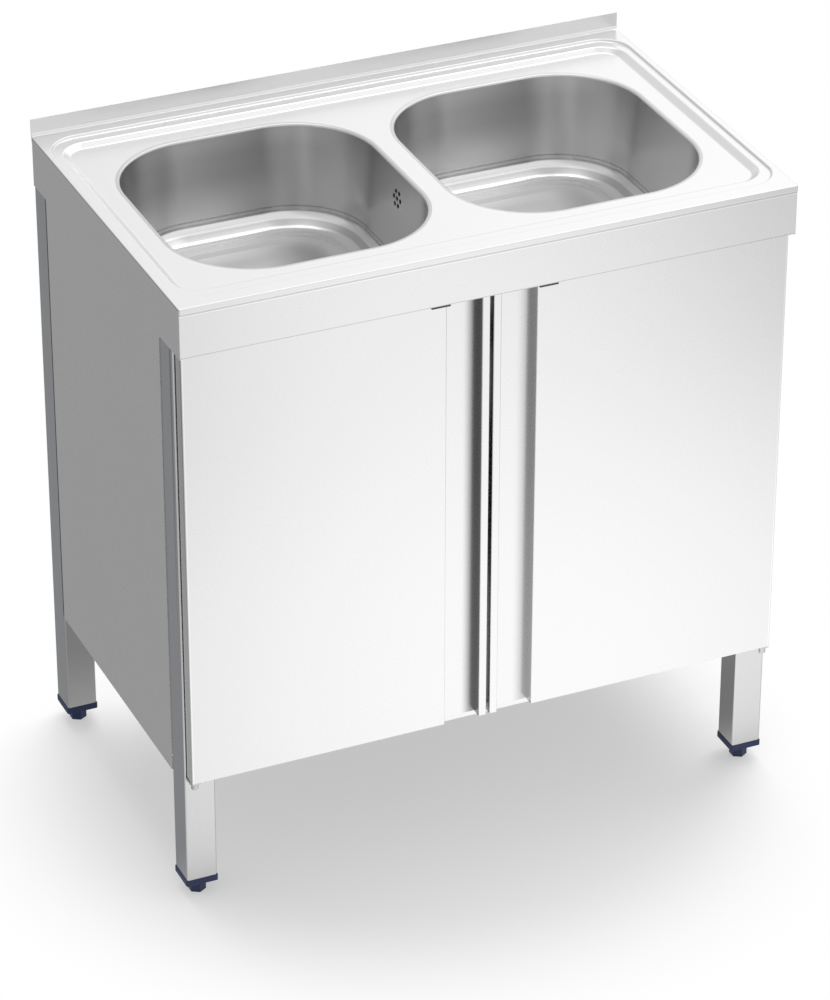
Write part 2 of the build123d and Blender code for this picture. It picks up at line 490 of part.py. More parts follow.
with BuildPart() as waste_screws:
    for sign in SIDES.values():
        disc(sign * BOWL_X, 0, GRID_TOP_Z, GRID_TOP_Z + WASTE_SCREW_HEAD, WASTE_SCREW_HEAD_R)
        disc(sign * BOWL_X, 0, BODY_BOTTOM_Z, GRID_TOP_Z, WASTE_SCREW_R)
save(waste_screws.part, "waste_screws")

for side, sign in SIDES.items():
    drain_x, hose_x = sign * BOWL_X, sign * HOSE_X
    nipple_dir = Vector(hose_x - drain_x, OVERFLOW_Y, 0).normalized()
    nipple_root = Vector(drain_x, 0, NIPPLE_Z) + nipple_dir * (BODY_R - NIPPLE_ROOT)
    nipple_plane = Plane(nipple_root, z_dir=nipple_dir)

    with BuildPart() as waste_flange:
        disc(drain_x, 0, DRAIN_Z, DRAIN_Z + FLANGE_THICK, FLANGE_R)
        chamfer(waste_flange.edges().group_by(Axis.Z)[-1], FLANGE_BEVEL)
        disc(drain_x, 0, GRID_BOTTOM_Z, DRAIN_Z, STRAINER_R)
        disc(drain_x, 0, GRID_TOP_Z, DRAIN_Z + FLANGE_THICK, STRAINER_R - STRAINER_WALL, mode=Mode.SUBTRACT)
        disc(drain_x, 0, GRID_BOTTOM_Z, GRID_TOP_Z, WASTE_SCREW_R, mode=Mode.SUBTRACT)
        with BuildSketch(level(GRID_BOTTOM_Z, drain_x)):
            with PolarLocations(GRID_RING_R, GRID_HOLES):
                Circle(GRID_HOLE_R)
        extrude(amount=GRID_THICK, mode=Mode.SUBTRACT)
    save(waste_flange.part, f"waste_flange_{side}")

    with BuildPart() as waste_body:
        disc(drain_x, 0, GASKET_BOTTOM_Z - BODY_FLANGE, GASKET_BOTTOM_Z, BODY_FLANGE_R)
        disc(drain_x, 0, BODY_UNDER_Z, GASKET_BOTTOM_Z, BODY_R)
        disc(drain_x, 0, SPIGOT_BOTTOM_Z, BODY_BOTTOM_Z, PIPE_R)
        stub(nipple_plane, NIPPLE_R, NIPPLE_REACH)
        disc(drain_x, 0, BODY_BOTTOM_Z, GASKET_BOTTOM_Z, BODY_R - BODY_WALL, mode=Mode.SUBTRACT)
        disc(drain_x, 0, SPIGOT_BOTTOM_Z, GASKET_BOTTOM_Z, PIPE_BORE_R, mode=Mode.SUBTRACT)
        stub(nipple_plane, NIPPLE_R - NIPPLE_WALL, NIPPLE_REACH, mode=Mode.SUBTRACT)
        disc(drain_x, 0, BODY_UNDER_Z, GRID_BOTTOM_Z, BOSS_R)
        for half_x, half_y in ((PIPE_R, BRIDGE_HALF), (BRIDGE_HALF, PIPE_R)):
            block(drain_x - half_x, drain_x + half_x, -half_y, half_y,
                  BODY_UNDER_Z, BODY_BOTTOM_Z + BRIDGE_RISE)
        disc(drain_x, 0, BODY_BOTTOM_Z, GRID_TOP_Z, WASTE_SCREW_R, mode=Mode.SUBTRACT)
    save(waste_body.part, f"waste_body_{side}")

    with BuildPart() as overflow_collector:
        block(sign * COLLECTOR_X0, sign * COLLECTOR_X1, OVERFLOW_Y - COLLECTOR_HALF,
              OVERFLOW_Y + COLLECTOR_HALF, COLLECTOR_Z0, COLLECTOR_Z1)
        disc(hose_x, OVERFLOW_Y, COLLECTOR_Z0 - COLLECTOR_STUB, COLLECTOR_Z0, NIPPLE_R)
        half_y = COLLECTOR_HALF - COLLECTOR_WALL
        block(sign * (COLLECTOR_X0 + COLLECTOR_WALL), sign * COLLECTOR_X1, OVERFLOW_Y - half_y,
              OVERFLOW_Y + half_y, COLLECTOR_Z0 + COLLECTOR_WALL, COLLECTOR_Z1 - COLLECTOR_WALL,
              mode=Mode.SUBTRACT)
        disc(hose_x, OVERFLOW_Y, COLLECTOR_Z0 - COLLECTOR_STUB, COLLECTOR_Z0 + COLLECTOR_WALL,
             NIPPLE_R - NIPPLE_WALL, mode=Mode.SUBTRACT)
        add(bowl_form(drain_x, TOP_SHEET), mode=Mode.SUBTRACT)
    save(overflow_collector.part, f"overflow_collector_{side}")

    hose_points = (nipple_root + nipple_dir * HOSE_START, (hose_x, OVERFLOW_Y, NIPPLE_Z),
                   (hose_x, OVERFLOW_Y, COLLECTOR_Z0))
    overflow_hose = pipe_along(bent_route(hose_points, HOSE_BEND), NIPPLE_R + HOSE_WALL, HOSE_WALL)
    save(overflow_hose, f"overflow_hose_{side}")

    with BuildPart() as drain_plug:
        disc(drain_x, 0, GRID_TOP_Z + PLUG_GAP, DRAIN_Z + PLUG_SKIRT_TOP, PLUG_R)
        chamfer(drain_plug.edges().group_by(Axis.Z)[0], PLUG_BEVEL)
        disc(drain_x, 0, DRAIN_Z + PLUG_SKIRT_TOP, DRAIN_Z + PLUG_RIM_TOP, PLUG_TOP_R)
        disc(drain_x, 0, DRAIN_Z + PLUG_RIM_TOP, DRAIN_Z + KNOB_TOP, KNOB_R)
        fillet(drain_plug.edges().group_by(Axis.Z)[-1], PLUG_BEVEL)
    save(drain_plug.part, f"drain_plug_{side}")

# ---- Trap and pipes --------------------------------------------------------------------------
RUN_Z, TEE_HALF, TEE_BODY_HALF, TEE_BODY_R, PIPE_BEND = 585.0, 46.0, 25.0, 25.0, 34.0
TRAP_R, TRAP_WALL, TRAP_TOP_Z, TRAP_BOTTOM_Z, DIP_BOTTOM_Z = 36.0, 3.0, 545.0, 478.0, 468.0
TRAP_CUP_TOP_Z, TRAP_CUP_BOTTOM_Z, TRAP_CUP_CORNER = 497.0, 448.0, 8.0
INLET_TOP_Z, OUTLET_Z, OUTLET_SOCKET_Y = 559.0, 522.0, 68.0
OUTLET_END_Y, SPIGOT, BEAD = 245.0, 45.0, 4.0
NUT_R, NUT_LENGTH = 28.0, 18.0
BRANCH_BORE_R = PIPE_BORE_R - SHEET

for side, sign in SIDES.items():
    pipe_points = ((sign * BOWL_X, 0, BODY_UNDER_Z), (sign * BOWL_X, 0, RUN_Z),
                   (sign * TEE_BODY_HALF, 0, RUN_Z))
    drain_pipe = pipe_along(bent_route(pipe_points, PIPE_BEND), SOCKET_R, SOCKET_WALL)
    save(drain_pipe, f"drain_pipe_{side}")

with BuildPart() as drain_tee:
    stub(along_x(-TEE_HALF, 0, RUN_Z), PIPE_R, 2 * TEE_HALF)
    stub(along_x(-TEE_BODY_HALF, 0, RUN_Z), TEE_BODY_R, 2 * TEE_BODY_HALF)
    disc(0, 0, TRAP_TOP_Z, RUN_Z, PIPE_R)
    stub(along_x(-TEE_HALF, 0, RUN_Z), PIPE_BORE_R, 2 * TEE_HALF, mode=Mode.SUBTRACT)
    disc(0, 0, TRAP_TOP_Z, RUN_Z, BRANCH_BORE_R, mode=Mode.SUBTRACT)
save(drain_tee.part, "drain_tee")

with BuildPart() as trap_body:
    disc(0, 0, TRAP_BOTTOM_Z, TRAP_TOP_Z, TRAP_R)
    disc(0, 0, TRAP_TOP_Z, INLET_TOP_Z, SOCKET_R)
    rod(0, OUTLET_Z, 0, OUTLET_SOCKET_Y, SOCKET_R)
    disc(0, 0, TRAP_BOTTOM_Z, TRAP_TOP_Z - TRAP_WALL, TRAP_R - TRAP_WALL, mode=Mode.SUBTRACT)
    rod(0, OUTLET_Z, TRAP_R, OUTLET_SOCKET_Y, PIPE_R, mode=Mode.SUBTRACT)
    rod(0, OUTLET_Z, 0, TRAP_R, PIPE_BORE_R, mode=Mode.SUBTRACT)
    disc(0, 0, DIP_BOTTOM_Z, TRAP_TOP_Z, PIPE_R)
    disc(0, 0, DIP_BOTTOM_Z, TRAP_TOP_Z, PIPE_BORE_R, mode=Mode.SUBTRACT)
    disc(0, 0, TRAP_TOP_Z, INLET_TOP_Z, PIPE_R, mode=Mode.SUBTRACT)
save(trap_body.part, "trap_body")

with BuildPart() as trap_cup:
    disc(0, 0, TRAP_CUP_BOTTOM_Z, TRAP_CUP_TOP_Z, TRAP_R + TRAP_WALL)
    fillet(trap_cup.edges().group_by(Axis.Z)[0], TRAP_CUP_CORNER)
    disc(0, 0, TRAP_CUP_BOTTOM_Z + TRAP_WALL, TRAP_CUP_TOP_Z, TRAP_R, mode=Mode.SUBTRACT)
save(trap_cup.part, "trap_cup")

with BuildPart() as outlet_pipe:
    rod(0, OUTLET_Z, TRAP_R, OUTLET_END_Y, PIPE_R)
    rod(0, OUTLET_Z, OUTLET_END_Y - SPIGOT - BEAD, OUTLET_END_Y - SPIGOT, SOCKET_R)
    rod(0, OUTLET_Z, TRAP_R, OUTLET_END_Y, PIPE_BORE_R, mode=Mode.SUBTRACT)
save(outlet_pipe.part, "outlet_pipe")

with BuildPart() as pipe_nuts:
    for sign in SIDES.values():
        disc(sign * BOWL_X, 0, BODY_UNDER_Z - NUT_LENGTH, BODY_UNDER_Z, NUT_R)
        disc(sign * BOWL_X, 0, SPIGOT_BOTTOM_Z, BODY_BOTTOM_Z, SOCKET_R, mode=Mode.SUBTRACT)
        nut_plane = along_x(sign * (TEE_HALF - NUT_LENGTH / 2) - NUT_LENGTH / 2, 0, RUN_Z)
        stub(nut_plane, NUT_R, NUT_LENGTH)
        stub(nut_plane, SOCKET_R, NUT_LENGTH, mode=Mode.SUBTRACT)
save(pipe_nuts.part, "pipe_nuts")
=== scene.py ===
# %% [markdown]
# # A stainless steel sink unit, dressed in Blender
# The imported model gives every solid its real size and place. This lesson gives those solids their
# looks: pressed and folded steel with softly rounded edges, moulded plastic feet, pipes and screws,
# and a plain studio round them. Lengths are in metres, +Z is up, and the doors face -Y.

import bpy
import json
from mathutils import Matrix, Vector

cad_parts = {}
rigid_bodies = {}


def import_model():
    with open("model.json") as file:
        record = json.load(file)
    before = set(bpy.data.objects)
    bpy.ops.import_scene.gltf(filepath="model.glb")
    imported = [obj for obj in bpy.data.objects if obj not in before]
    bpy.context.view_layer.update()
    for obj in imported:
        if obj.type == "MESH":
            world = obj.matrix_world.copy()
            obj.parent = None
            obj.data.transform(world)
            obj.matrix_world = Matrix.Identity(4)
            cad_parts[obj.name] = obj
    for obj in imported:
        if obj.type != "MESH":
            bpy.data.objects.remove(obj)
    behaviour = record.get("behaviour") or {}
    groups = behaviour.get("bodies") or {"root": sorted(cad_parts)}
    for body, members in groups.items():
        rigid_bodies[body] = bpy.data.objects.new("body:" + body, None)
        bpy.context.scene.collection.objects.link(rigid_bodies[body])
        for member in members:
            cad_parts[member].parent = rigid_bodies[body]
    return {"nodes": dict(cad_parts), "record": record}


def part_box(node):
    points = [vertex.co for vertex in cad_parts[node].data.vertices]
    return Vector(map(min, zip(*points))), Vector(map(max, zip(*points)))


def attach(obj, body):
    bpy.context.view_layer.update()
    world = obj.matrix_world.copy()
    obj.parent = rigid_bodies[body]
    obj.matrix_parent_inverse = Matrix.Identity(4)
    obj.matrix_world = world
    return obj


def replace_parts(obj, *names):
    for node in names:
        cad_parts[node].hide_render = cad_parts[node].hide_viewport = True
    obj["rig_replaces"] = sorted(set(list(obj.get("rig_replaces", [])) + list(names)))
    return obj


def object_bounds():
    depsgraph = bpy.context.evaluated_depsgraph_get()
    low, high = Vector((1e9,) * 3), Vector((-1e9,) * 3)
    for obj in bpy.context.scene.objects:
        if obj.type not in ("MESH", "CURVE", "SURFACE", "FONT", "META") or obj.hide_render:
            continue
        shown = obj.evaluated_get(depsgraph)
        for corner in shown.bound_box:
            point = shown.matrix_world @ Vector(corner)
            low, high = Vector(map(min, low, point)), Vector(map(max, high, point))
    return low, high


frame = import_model()
cad_low, cad_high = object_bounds()
print("the model measures", [round(b - a, 4) for a, b in zip(cad_low, cad_high)])

# %% [markdown]
# ## Working values
# A few lengths come back again and again, in the forms and in the finishes. Those of the whole unit
# are read from the frame. Those of the pressing are written here once: the rim with its upstand,
# the two pressed steps round the bowls, and the outline of a bowl.

# %% Libraries and shared sizes
import json
import math

import bmesh
import bpy
from mathutils import Vector

MM = 0.001
HALF_WIDTH, HALF_DEPTH = cad_high.x, cad_high.y
SHEET = 1.2 * MM
UPSTAND, RIM_FOLD = 23 * MM, 8 * MM
RIM_Z = cad_high.z - UPSTAND
PANEL_FRONT, PANEL_REAR, PANEL_TOP = -180.5 * MM, 205.3 * MM, 773 * MM
STEP = {"side": 8.5 * MM, "front": 22 * MM, "rear": 19 * MM, "corner": 40 * MM,
        "drop": 3 * MM, "run": 1.5 * MM, "round": 1.6 * MM}
SLOPE = {"side": 19 * MM, "front": 41 * MM, "rear": 35.6 * MM, "corner": 34 * MM,
         "drop": 5.5 * MM, "run": 8 * MM, "round": 4 * MM}
DECK_Z = RIM_Z - STEP["drop"] - SLOPE["drop"]
BOWL_X, BOWL_HALF_X, BOWL_HALF_Y, BOWL_CORNER = 181.3 * MM, 163 * MM, 178 * MM, 109 * MM
LIP_LAND, EDGE_DEPTH, DISH = 5.5 * MM, 130.5 * MM, 11 * MM
WALL_END_Z, DRAIN_Z = DECK_Z - EDGE_DEPTH + 20 * MM, DECK_Z - EDGE_DEPTH - DISH
SIDES = {"left": -1, "right": 1}
print("rim at", round(RIM_Z, 4), "deck at", round(DECK_Z, 4))

# %% [markdown]
# ## Shader maths as Python expressions
# A finish is a small sum: this noise, stretched along the brushing, times a few percent, plus the
# base value. Written with sockets it fills a page. The class below wraps a socket, so that
# `0.3 + 0.05 * grain` adds the Math nodes by itself, and its `node` method adds any other node.
# Colours go through Mix, because a Math node would turn them grey.

# %% Wires: sockets that can be added and multiplied
class Wire:
    """One output socket of a node tree, usable in an expression."""

    def __init__(self, tree, socket=None):
        self.tree = tree
        self.socket = socket

    def node(self, kind, settings=None, *values, out=0, **named):
        """Add a node of any kind: its settings first, then its inputs by order or by name. A list
        holds the wires of one input that takes many."""
        made = self.tree.nodes.new(kind)
        for key, value in (settings or {}).items():
            setattr(made, key, value)
        pairs = list(enumerate(values))
        pairs += [(key.replace("_", " "), value) for key, value in named.items()]
        for key, value in pairs:
            for item in reversed(value) if isinstance(value, list) else [value]:
                if isinstance(item, Wire):
                    self.tree.links.new(item.socket, made.inputs[key])
                elif item is not None:
                    made.inputs[key].default_value = item
        return Wire(self.tree, made.outputs[out] if made.outputs else None)

    def math(self, operation, *values):
        return self.node("ShaderNodeMath", {"operation": operation}, *values)

    def vector(self, operation, *values, out=0, **named):
        return self.node("ShaderNodeVectorMath", {"operation": operation}, self, *values, out=out,
                         **named)

    def ramp(self, low, high):
        """0 below low, 1 above high, smooth between them."""
        settings = {"interpolation_type": "SMOOTHSTEP"}
        return self.node("ShaderNodeMapRange", settings, self, low, high, 0.0, 1.0)

    def parts(self):
        """The x, y and z of a vector."""
        return [self.node("ShaderNodeSeparateXYZ", {}, self, out=k) for k in range(3)]

    def __add__(self, other): return self.math("ADD", self, other)
    def __radd__(self, other): return self.math("ADD", other, self)
    def __sub__(self, other): return self.math("SUBTRACT", self, other)
    def __rsub__(self, other): return self.math("SUBTRACT", other, self)
    def __mul__(self, other): return self.math("MULTIPLY", self, other)
    def __rmul__(self, other): return self.math("MULTIPLY", other, self)
    def __truediv__(self, other): return self.math("DIVIDE", self, other)
    def __rtruediv__(self, other): return self.math("DIVIDE", other, self)


def blend(factor, low, high):
    """A number that goes from low to high as the factor goes from 0 to 1."""
    return low + (high - low) * factor


def mix_colour(factor, dark, light):
    """The same for colours, which are the seventh and eighth input of the Mix node."""
    skipped = [None] * 5
    return factor.node("ShaderNodeMix", {"data_type": "RGBA"}, factor, *skipped, (*dark, 1.0),
                       (*light, 1.0), out=2)


def band(value, low, high, soft):
    """1 where the value lies between low and high, 0 elsewhere, with soft edges outside."""
    return value.ramp(low - soft, low) * (1.0 - value.ramp(high, high + soft))


def off_middle(x):
    """The distance from the unit's middle plane, for what is alike on both sides."""
    return x.math("ABSOLUTE", x)


print("wires ready")

# %% [markdown]
# ## Stainless steel
# Cold-rolled sheet is a mirror seen through a fine, even haze: the reflections are there, but
# spread. A photographed texture could show its grain, but that is far finer than a millimetre and
# runs one way, so it only shows as a slight sparkle, and noise gives that at any size. Roughness
# sets the haze, a stretched noise sets the grain, and a slow noise lets the sheet wander by a
# fraction of a degree, as real sheet does. All of it reads Object coordinates, so that it runs on
# from piece to piece.

# %% The recipe for sheet steel
GRAIN_WAVES, CLOUD_WAVES, GRAIN_DEPTH = 900.0, 7.0, 0.001 * MM
ALONG_X, ALONG_Z = (0.08, 1.0, 1.0), (1.0, 1.0, 0.08)


def start_finish(name):
    """A new material, its shader, and the wire of Object coordinates."""
    material = bpy.data.materials.new(name)
    material.use_nodes = True
    tree = material.node_tree
    place = Wire(tree).node("ShaderNodeTexCoord", out="Object")
    return material, tree.nodes["Principled BSDF"], place


def set_shader(place, shader, **values):
    """Link or set the shader's own sockets."""
    for label, value in values.items():
        socket = shader.inputs[label.replace("_", " ")]
        if isinstance(value, Wire):
            place.tree.links.new(value.socket, socket)
        else:
            socket.default_value = value


def noise(place, waves, stretch=(1.0, 1.0, 1.0), detail=2.0, rough=0.5):
    """Noise between 0 and 1, in waves per metre."""
    scaled = place.vector("MULTIPLY", tuple(waves * part for part in stretch))
    return place.node("ShaderNodeTexNoise", {}, Vector=scaled, Scale=1.0, Detail=detail,
                      Roughness=rough)


def relief(place, height):
    """A height in metres as the normal of a surface."""
    return place.node("ShaderNodeBump", {}, Strength=1.0, Distance=1.0, Height=height)


def steel(name, dark, light, roughness, along, waver, shade=None, haze=None):
    """Sheet steel: along is the stretch of its grain, waver how far the sheet wanders. Shade is
    painted shade and highlight by place, the part of the light that folds and corners keep, above 1
    on painted bright lines; haze adds to the roughness by place."""
    material, shader, place = start_finish(name)
    grain = noise(place, GRAIN_WAVES, along, detail=3.0, rough=0.7)
    cloud = noise(place, CLOUD_WAVES)
    tone = mix_colour(0.75 * grain + 0.25 * cloud, (dark,) * 3, (light,) * 3)
    # painted shade and highlights scale the steel's colour by place
    if shade:
        tone = tone.vector("MULTIPLY", shade(*place.parts()))
    spread = roughness + 0.05 * (grain - 0.5) + 0.03 * (cloud - 0.5)
    if haze:
        spread = spread + haze(*place.parts())
    set_shader(place, shader, Base_Color=tone, Roughness=spread, Metallic=1.0,
               Normal=relief(place, waver * cloud + GRAIN_DEPTH * grain))
    return material


print("grain runs along", ALONG_X, "or", ALONG_Z)

# %% [markdown]
# ## Painted shade in the doors' folds
# In the doors' grip channels steel faces steel, and the light is lost over many mirrorings. The
# renderer could follow them all, but this studio is far plainer than a real room, and the channels
# would come out too bright. So the shade is painted into the finish, by place, as how much of the
# light it keeps: a smooth ramp beside each lip and each wall. The outermost bend of a door gets a
# painted highlight, and the narrow side behind it a painted shade that darkens upwards.

# %% How much light the doors keep
DOOR_FACE_Y, DOOR_EDGE_X = -239 * MM, 395 * MM


def door_shade(x, y, z):
    """Painted shade by the lips and in the gap, lighter beside outer walls, painted highlight on
    bends.
    """
    # painted shade in the grip channels
    in_channel = y.ramp(DOOR_FACE_Y - 0.4 * MM, DOOR_FACE_Y + 0.4 * MM)
    by_lip = x.ramp(-32 * MM, -15 * MM) * (1.0 - x.ramp(12.8 * MM, 13.8 * MM))
    by_right_wall = x.ramp(38 * MM, 57 * MM) * (1.0 - x.ramp(60 * MM, 61 * MM))
    by_left_wall = band(x, -60 * MM, -58 * MM, 1 * MM)
    channel = in_channel * (0.66 * by_lip + 0.36 * by_right_wall + 0.36 * by_left_wall)

    # painted highlight on a door's outer bend, painted shade on the narrow side behind it
    out = off_middle(x)
    face = 1.0 - y.ramp(DOOR_FACE_Y - 0.3 * MM, DOOR_FACE_Y + 0.4 * MM)
    painted_bend_highlight = band(out, DOOR_EDGE_X - 1.8 * MM, DOOR_EDGE_X - 0.1 * MM, 0.3 * MM) * face
    outer_side = out.ramp(DOOR_EDGE_X - 0.1 * MM, DOOR_EDGE_X + 0.1 * MM) * y.ramp(
        DOOR_FACE_Y - 0.4 * MM, DOOR_FACE_Y + 0.2 * MM)
    side_line = 1.0 - y.ramp(DOOR_FACE_Y + 2.5 * MM, DOOR_FACE_Y + 3.5 * MM)
    return 1.0 - channel + 0.14 * painted_bend_highlight - (
        outer_side * z.ramp(0.25, 0.75) * (0.22 + 0.3 * side_line))


print("the doors' channels lie behind y =", DOOR_FACE_Y)

# %% [markdown]
# ## Painted shade and highlights on the rim, the apron, the panels and the legs
# The rim's side folds get a thin painted shadow along their top, and the rim's fold over the apron
# a thin painted shadow on the apron. The apron's own bends get a painted bright line above and a
# painted dark one below. The side panels are set back between the legs, so their two edges get
# painted shade. Drawn tube is darker than rolled sheet; the legs' outer sides get a painted bluish
# shade and a painted dark line near the front corner, and the rear legs painted shade beside the
# side panels. Such lines could be modelled as bends, but they are finer than a pixel, and bands by
# place stay even.

# %% How much light the rim, apron, panels and legs keep
FOLD_UNDER_Z, APRON_LOW, PANEL_LOW, LEG_SIDE_X = RIM_Z - RIM_FOLD, 775.6 * MM, 170 * MM, 398 * MM
CORNER_LINE, BY_PANEL = (-215.5 * MM, -211.5 * MM), (208 * MM, 211 * MM)


def rim_shade(x, y, z):
    """A thin painted shadow along the top of the rim's fold on both sides."""
    line = band(z, RIM_Z - 2.2 * MM, RIM_Z - 0.9 * MM, 0.2 * MM)
    return 1.0 - 0.4 * off_middle(x).ramp(399.1 * MM, 399.6 * MM) * line


def apron_shade(x, y, z):
    """A painted shadow under the rim's fold, a painted highlight above it, a painted dark lower
    bend.
    """
    under_fold = band(z, FOLD_UNDER_Z - 2.0 * MM, RIM_Z, 0.2 * MM)
    painted_top_highlight = band(z, FOLD_UNDER_Z - 3.4 * MM, FOLD_UNDER_Z - 2.3 * MM, 0.2 * MM)
    low_bend = band(z, 0.0, APRON_LOW + 1.2 * MM, 0.3 * MM)
    return 1.0 - 0.2 * under_fold + 0.14 * painted_top_highlight - 0.25 * low_bend


def panel_shade(x, y, z):
    """Painted shade on the side panels' front edge and the lip at their rear, beside the legs."""
    front_edge = 1.0 - y.ramp(PANEL_FRONT + 0.1 * MM, PANEL_FRONT + 0.6 * MM)
    rear_lip = y.ramp(PANEL_REAR + 0.3 * MM, PANEL_REAR + 0.9 * MM)
    below_top = 1.0 - z.ramp(PANEL_TOP - 3 * MM, PANEL_TOP)
    return 1.0 - (0.3 * front_edge + 0.6 * rear_lip) * below_top


def tube_shade(x, y, z):
    """Painted shade: bluish and darker on the legs' outer sides. Near the front corner a painted
    dark line runs down and fades, and the rear legs get painted shade beside the side panels."""
    outer = off_middle(x).ramp(LEG_SIDE_X, LEG_SIDE_X + 0.3 * MM)
    dark_line = band(y, *CORNER_LINE, 1.2 * MM) * z.ramp(0.3, 0.75)
    by_panel = off_middle(x).ramp(380 * MM, 390 * MM) * band(y, *BY_PANEL, 0.5 * MM) * z.ramp(
        PANEL_LOW - 5 * MM, PANEL_LOW + 5 * MM)
    painted_side_tint = mix_colour(outer, (1.0, 1.0, 1.0), (0.77, 0.79, 0.83))
    return painted_side_tint.vector("SCALE", Scale=1.0 - 0.45 * outer * dark_line - 0.75 * by_panel)


print("the apron's lower bend is at", round(APRON_LOW, 4))

# %% [markdown]
# ## Painted shade and reflections in the bowls
# Deep drawing leaves the walls of a bowl hazier than its polished floor, and their colour is painted
# darker as shade. The walls mirror the room and each other, and these reflections are painted by
# place: the rear wall is palest at its foot and under its lip, and greyest half-way up, and the
# right bowl's walls are a little lighter. Two faint painted dark rings mark where wall and floor
# meet, the cove keeps a painted grey band, and the flat of the floor is painted lighter beside the
# drain and darker to the right. A painted texture would need the bowl unwrapped, while height and
# distance from a bowl's middle are at hand in Object coordinates.

# %% How much light the bowls keep
def bowl_shade(x, y, z):
    """Painted shade and reflections on both bowls, by height over the walls' end and place across.
    """
    up, right_bowl = z - WALL_END_Z, x.ramp(-1 * MM, 1 * MM)
    across = blend(right_bowl, x + BOWL_X, x - BOWL_X)
    from_drain = blend(right_bowl, x + BOWL_X, x - BOWL_X - 40 * MM)

    painted_foot_light = blend(across.ramp(-20 * MM, 110 * MM), 1.5, 1.0)
    by_height = blend(up.ramp(6 * MM, 62 * MM), painted_foot_light, 0.88) + 0.22 * up.ramp(78 * MM, 106 * MM)
    rear_wall = blend(y.ramp(120 * MM, 155 * MM), 1.0, by_height)
    painted_wall_shade = blend(x.ramp(-20 * MM, 20 * MM), 0.71, 0.76) * rear_wall
    walls = blend(up.ramp(-10 * MM, 0.0), 1.0, painted_wall_shade)

    rings = band(up, -3.5 * MM, -2 * MM, 1 * MM) + band(up, 2.5 * MM, 3.5 * MM, 1 * MM)
    cove = band(up, -15.5 * MM, -11.5 * MM, 1 * MM)
    flat = 1.0 - up.ramp(-23 * MM, -21 * MM)
    painted_floor_reflection = blend(flat, 1.0, blend(from_drain.ramp(15 * MM, 80 * MM), 1.1, 0.72))
    return walls * (1.0 - 0.3 * rings - 0.3 * cove) * painted_floor_reflection


def bowl_haze(x, y, z):
    """The drawn walls are hazier than the polished floor."""
    return 0.10 * z.ramp(WALL_END_Z - 10 * MM, WALL_END_Z + 10 * MM)


print("the bowls' walls end at", round(WALL_END_Z, 4))

# %% [markdown]
# ## The steels
# One recipe and a row of numbers for each sheet: its two greys, its roughness, which way it was
# rolled, and how far it wanders. The pressed top is stiffer than the large doors, and the fittings
# are turned from duller stock.

# %% Mix the steels
FINISHES = {
    "sink_steel": steel("sink steel", 0.84, 0.89, 0.26, ALONG_X, 0.08 * MM, rim_shade),
    "cabinet_steel": steel("cabinet steel", 0.83, 0.88, 0.27, ALONG_Z, 0.12 * MM),
    "door_steel": steel("door steel", 0.84, 0.89, 0.27, ALONG_Z, 0.12 * MM, door_shade),
    "tube_steel": steel("tube steel", 0.67, 0.75, 0.25, ALONG_Z, 0.03 * MM, tube_shade),
    "fitting_steel": steel("fitting steel", 0.58, 0.68, 0.30, ALONG_Z, 0.0),
}
apron_steel = steel("apron steel", 0.84, 0.89, 0.27, ALONG_Z, 0.12 * MM, apron_shade)
panel_steel = steel("panel steel", 0.83, 0.88, 0.27, ALONG_Z, 0.12 * MM, panel_shade)
bowl_steel = steel("bowl steel", 0.84, 0.90, 0.19, ALONG_Z, 0.05 * MM, bowl_shade, bowl_haze)
print("steel finishes:", sorted(FINISHES))

# %% [markdown]
# ## Plastic and rubber
# The feet and caps are glass-filled nylon dyed navy, with the faint pebble of a spark-eroded mould.
# Pipes are white polypropylene, softer and shinier. The rubber parts are matt. All of them are one
# recipe with other numbers: a colour that wanders a little, a pebble in the bump, and a roughness.

# %% Mix the moulded finishes
def moulded(name, dark, light, roughness, pebble, height):
    """Moulded plastic or rubber: pebble is the grain in waves per metre, height how deep it is."""
    material, shader, place = start_finish(name)
    fine = noise(place, pebble, rough=0.6)
    slow = noise(place, 40.0)
    set_shader(place, shader, Base_Color=mix_colour(0.6 * slow + 0.4 * fine, dark, light),
               Roughness=roughness + 0.08 * (fine - 0.5) + 0.06 * (slow - 0.5),
               Normal=relief(place, height * fine))
    return material


for slot, name, dark, light, roughness, pebble, height in (
        ("navy_plastic", "navy nylon", (0.008, 0.016, 0.062), (0.015, 0.027, 0.100),
         0.45, 1500.0, 0.02 * MM),
        ("dark_plastic", "dark nylon", (0.035, 0.035, 0.037), (0.06, 0.06, 0.062),
         0.5, 1500.0, 0.02 * MM),
        ("bush_plastic", "white nylon", (0.76, 0.75, 0.71), (0.82, 0.81, 0.78),
         0.4, 1200.0, 0.01 * MM),
        ("pipe_plastic", "white polypropylene", (0.80, 0.80, 0.79), (0.85, 0.85, 0.84),
         0.3, 800.0, 0.006 * MM),
        ("rubber", "black rubber", (0.018,) * 3, (0.032,) * 3, 0.62, 1800.0, 0.02 * MM),
        ("hose_rubber", "grey hose", (0.44, 0.45, 0.46), (0.52, 0.53, 0.54),
         0.5, 900.0, 0.01 * MM)):
    FINISHES[slot] = moulded(name, dark, light, roughness, pebble, height)
print("finishes:", sorted(FINISHES))

# %% [markdown]
# ## From form to piece
# Every piece ends the same way. Its modifiers are baked into a plain mesh, its edges are rounded by
# a hair so that they catch the light, its normals are weighted by area so that flat sheets stay
# flat beside those roundings, and it is told which body it rides on and which solid it stands for.

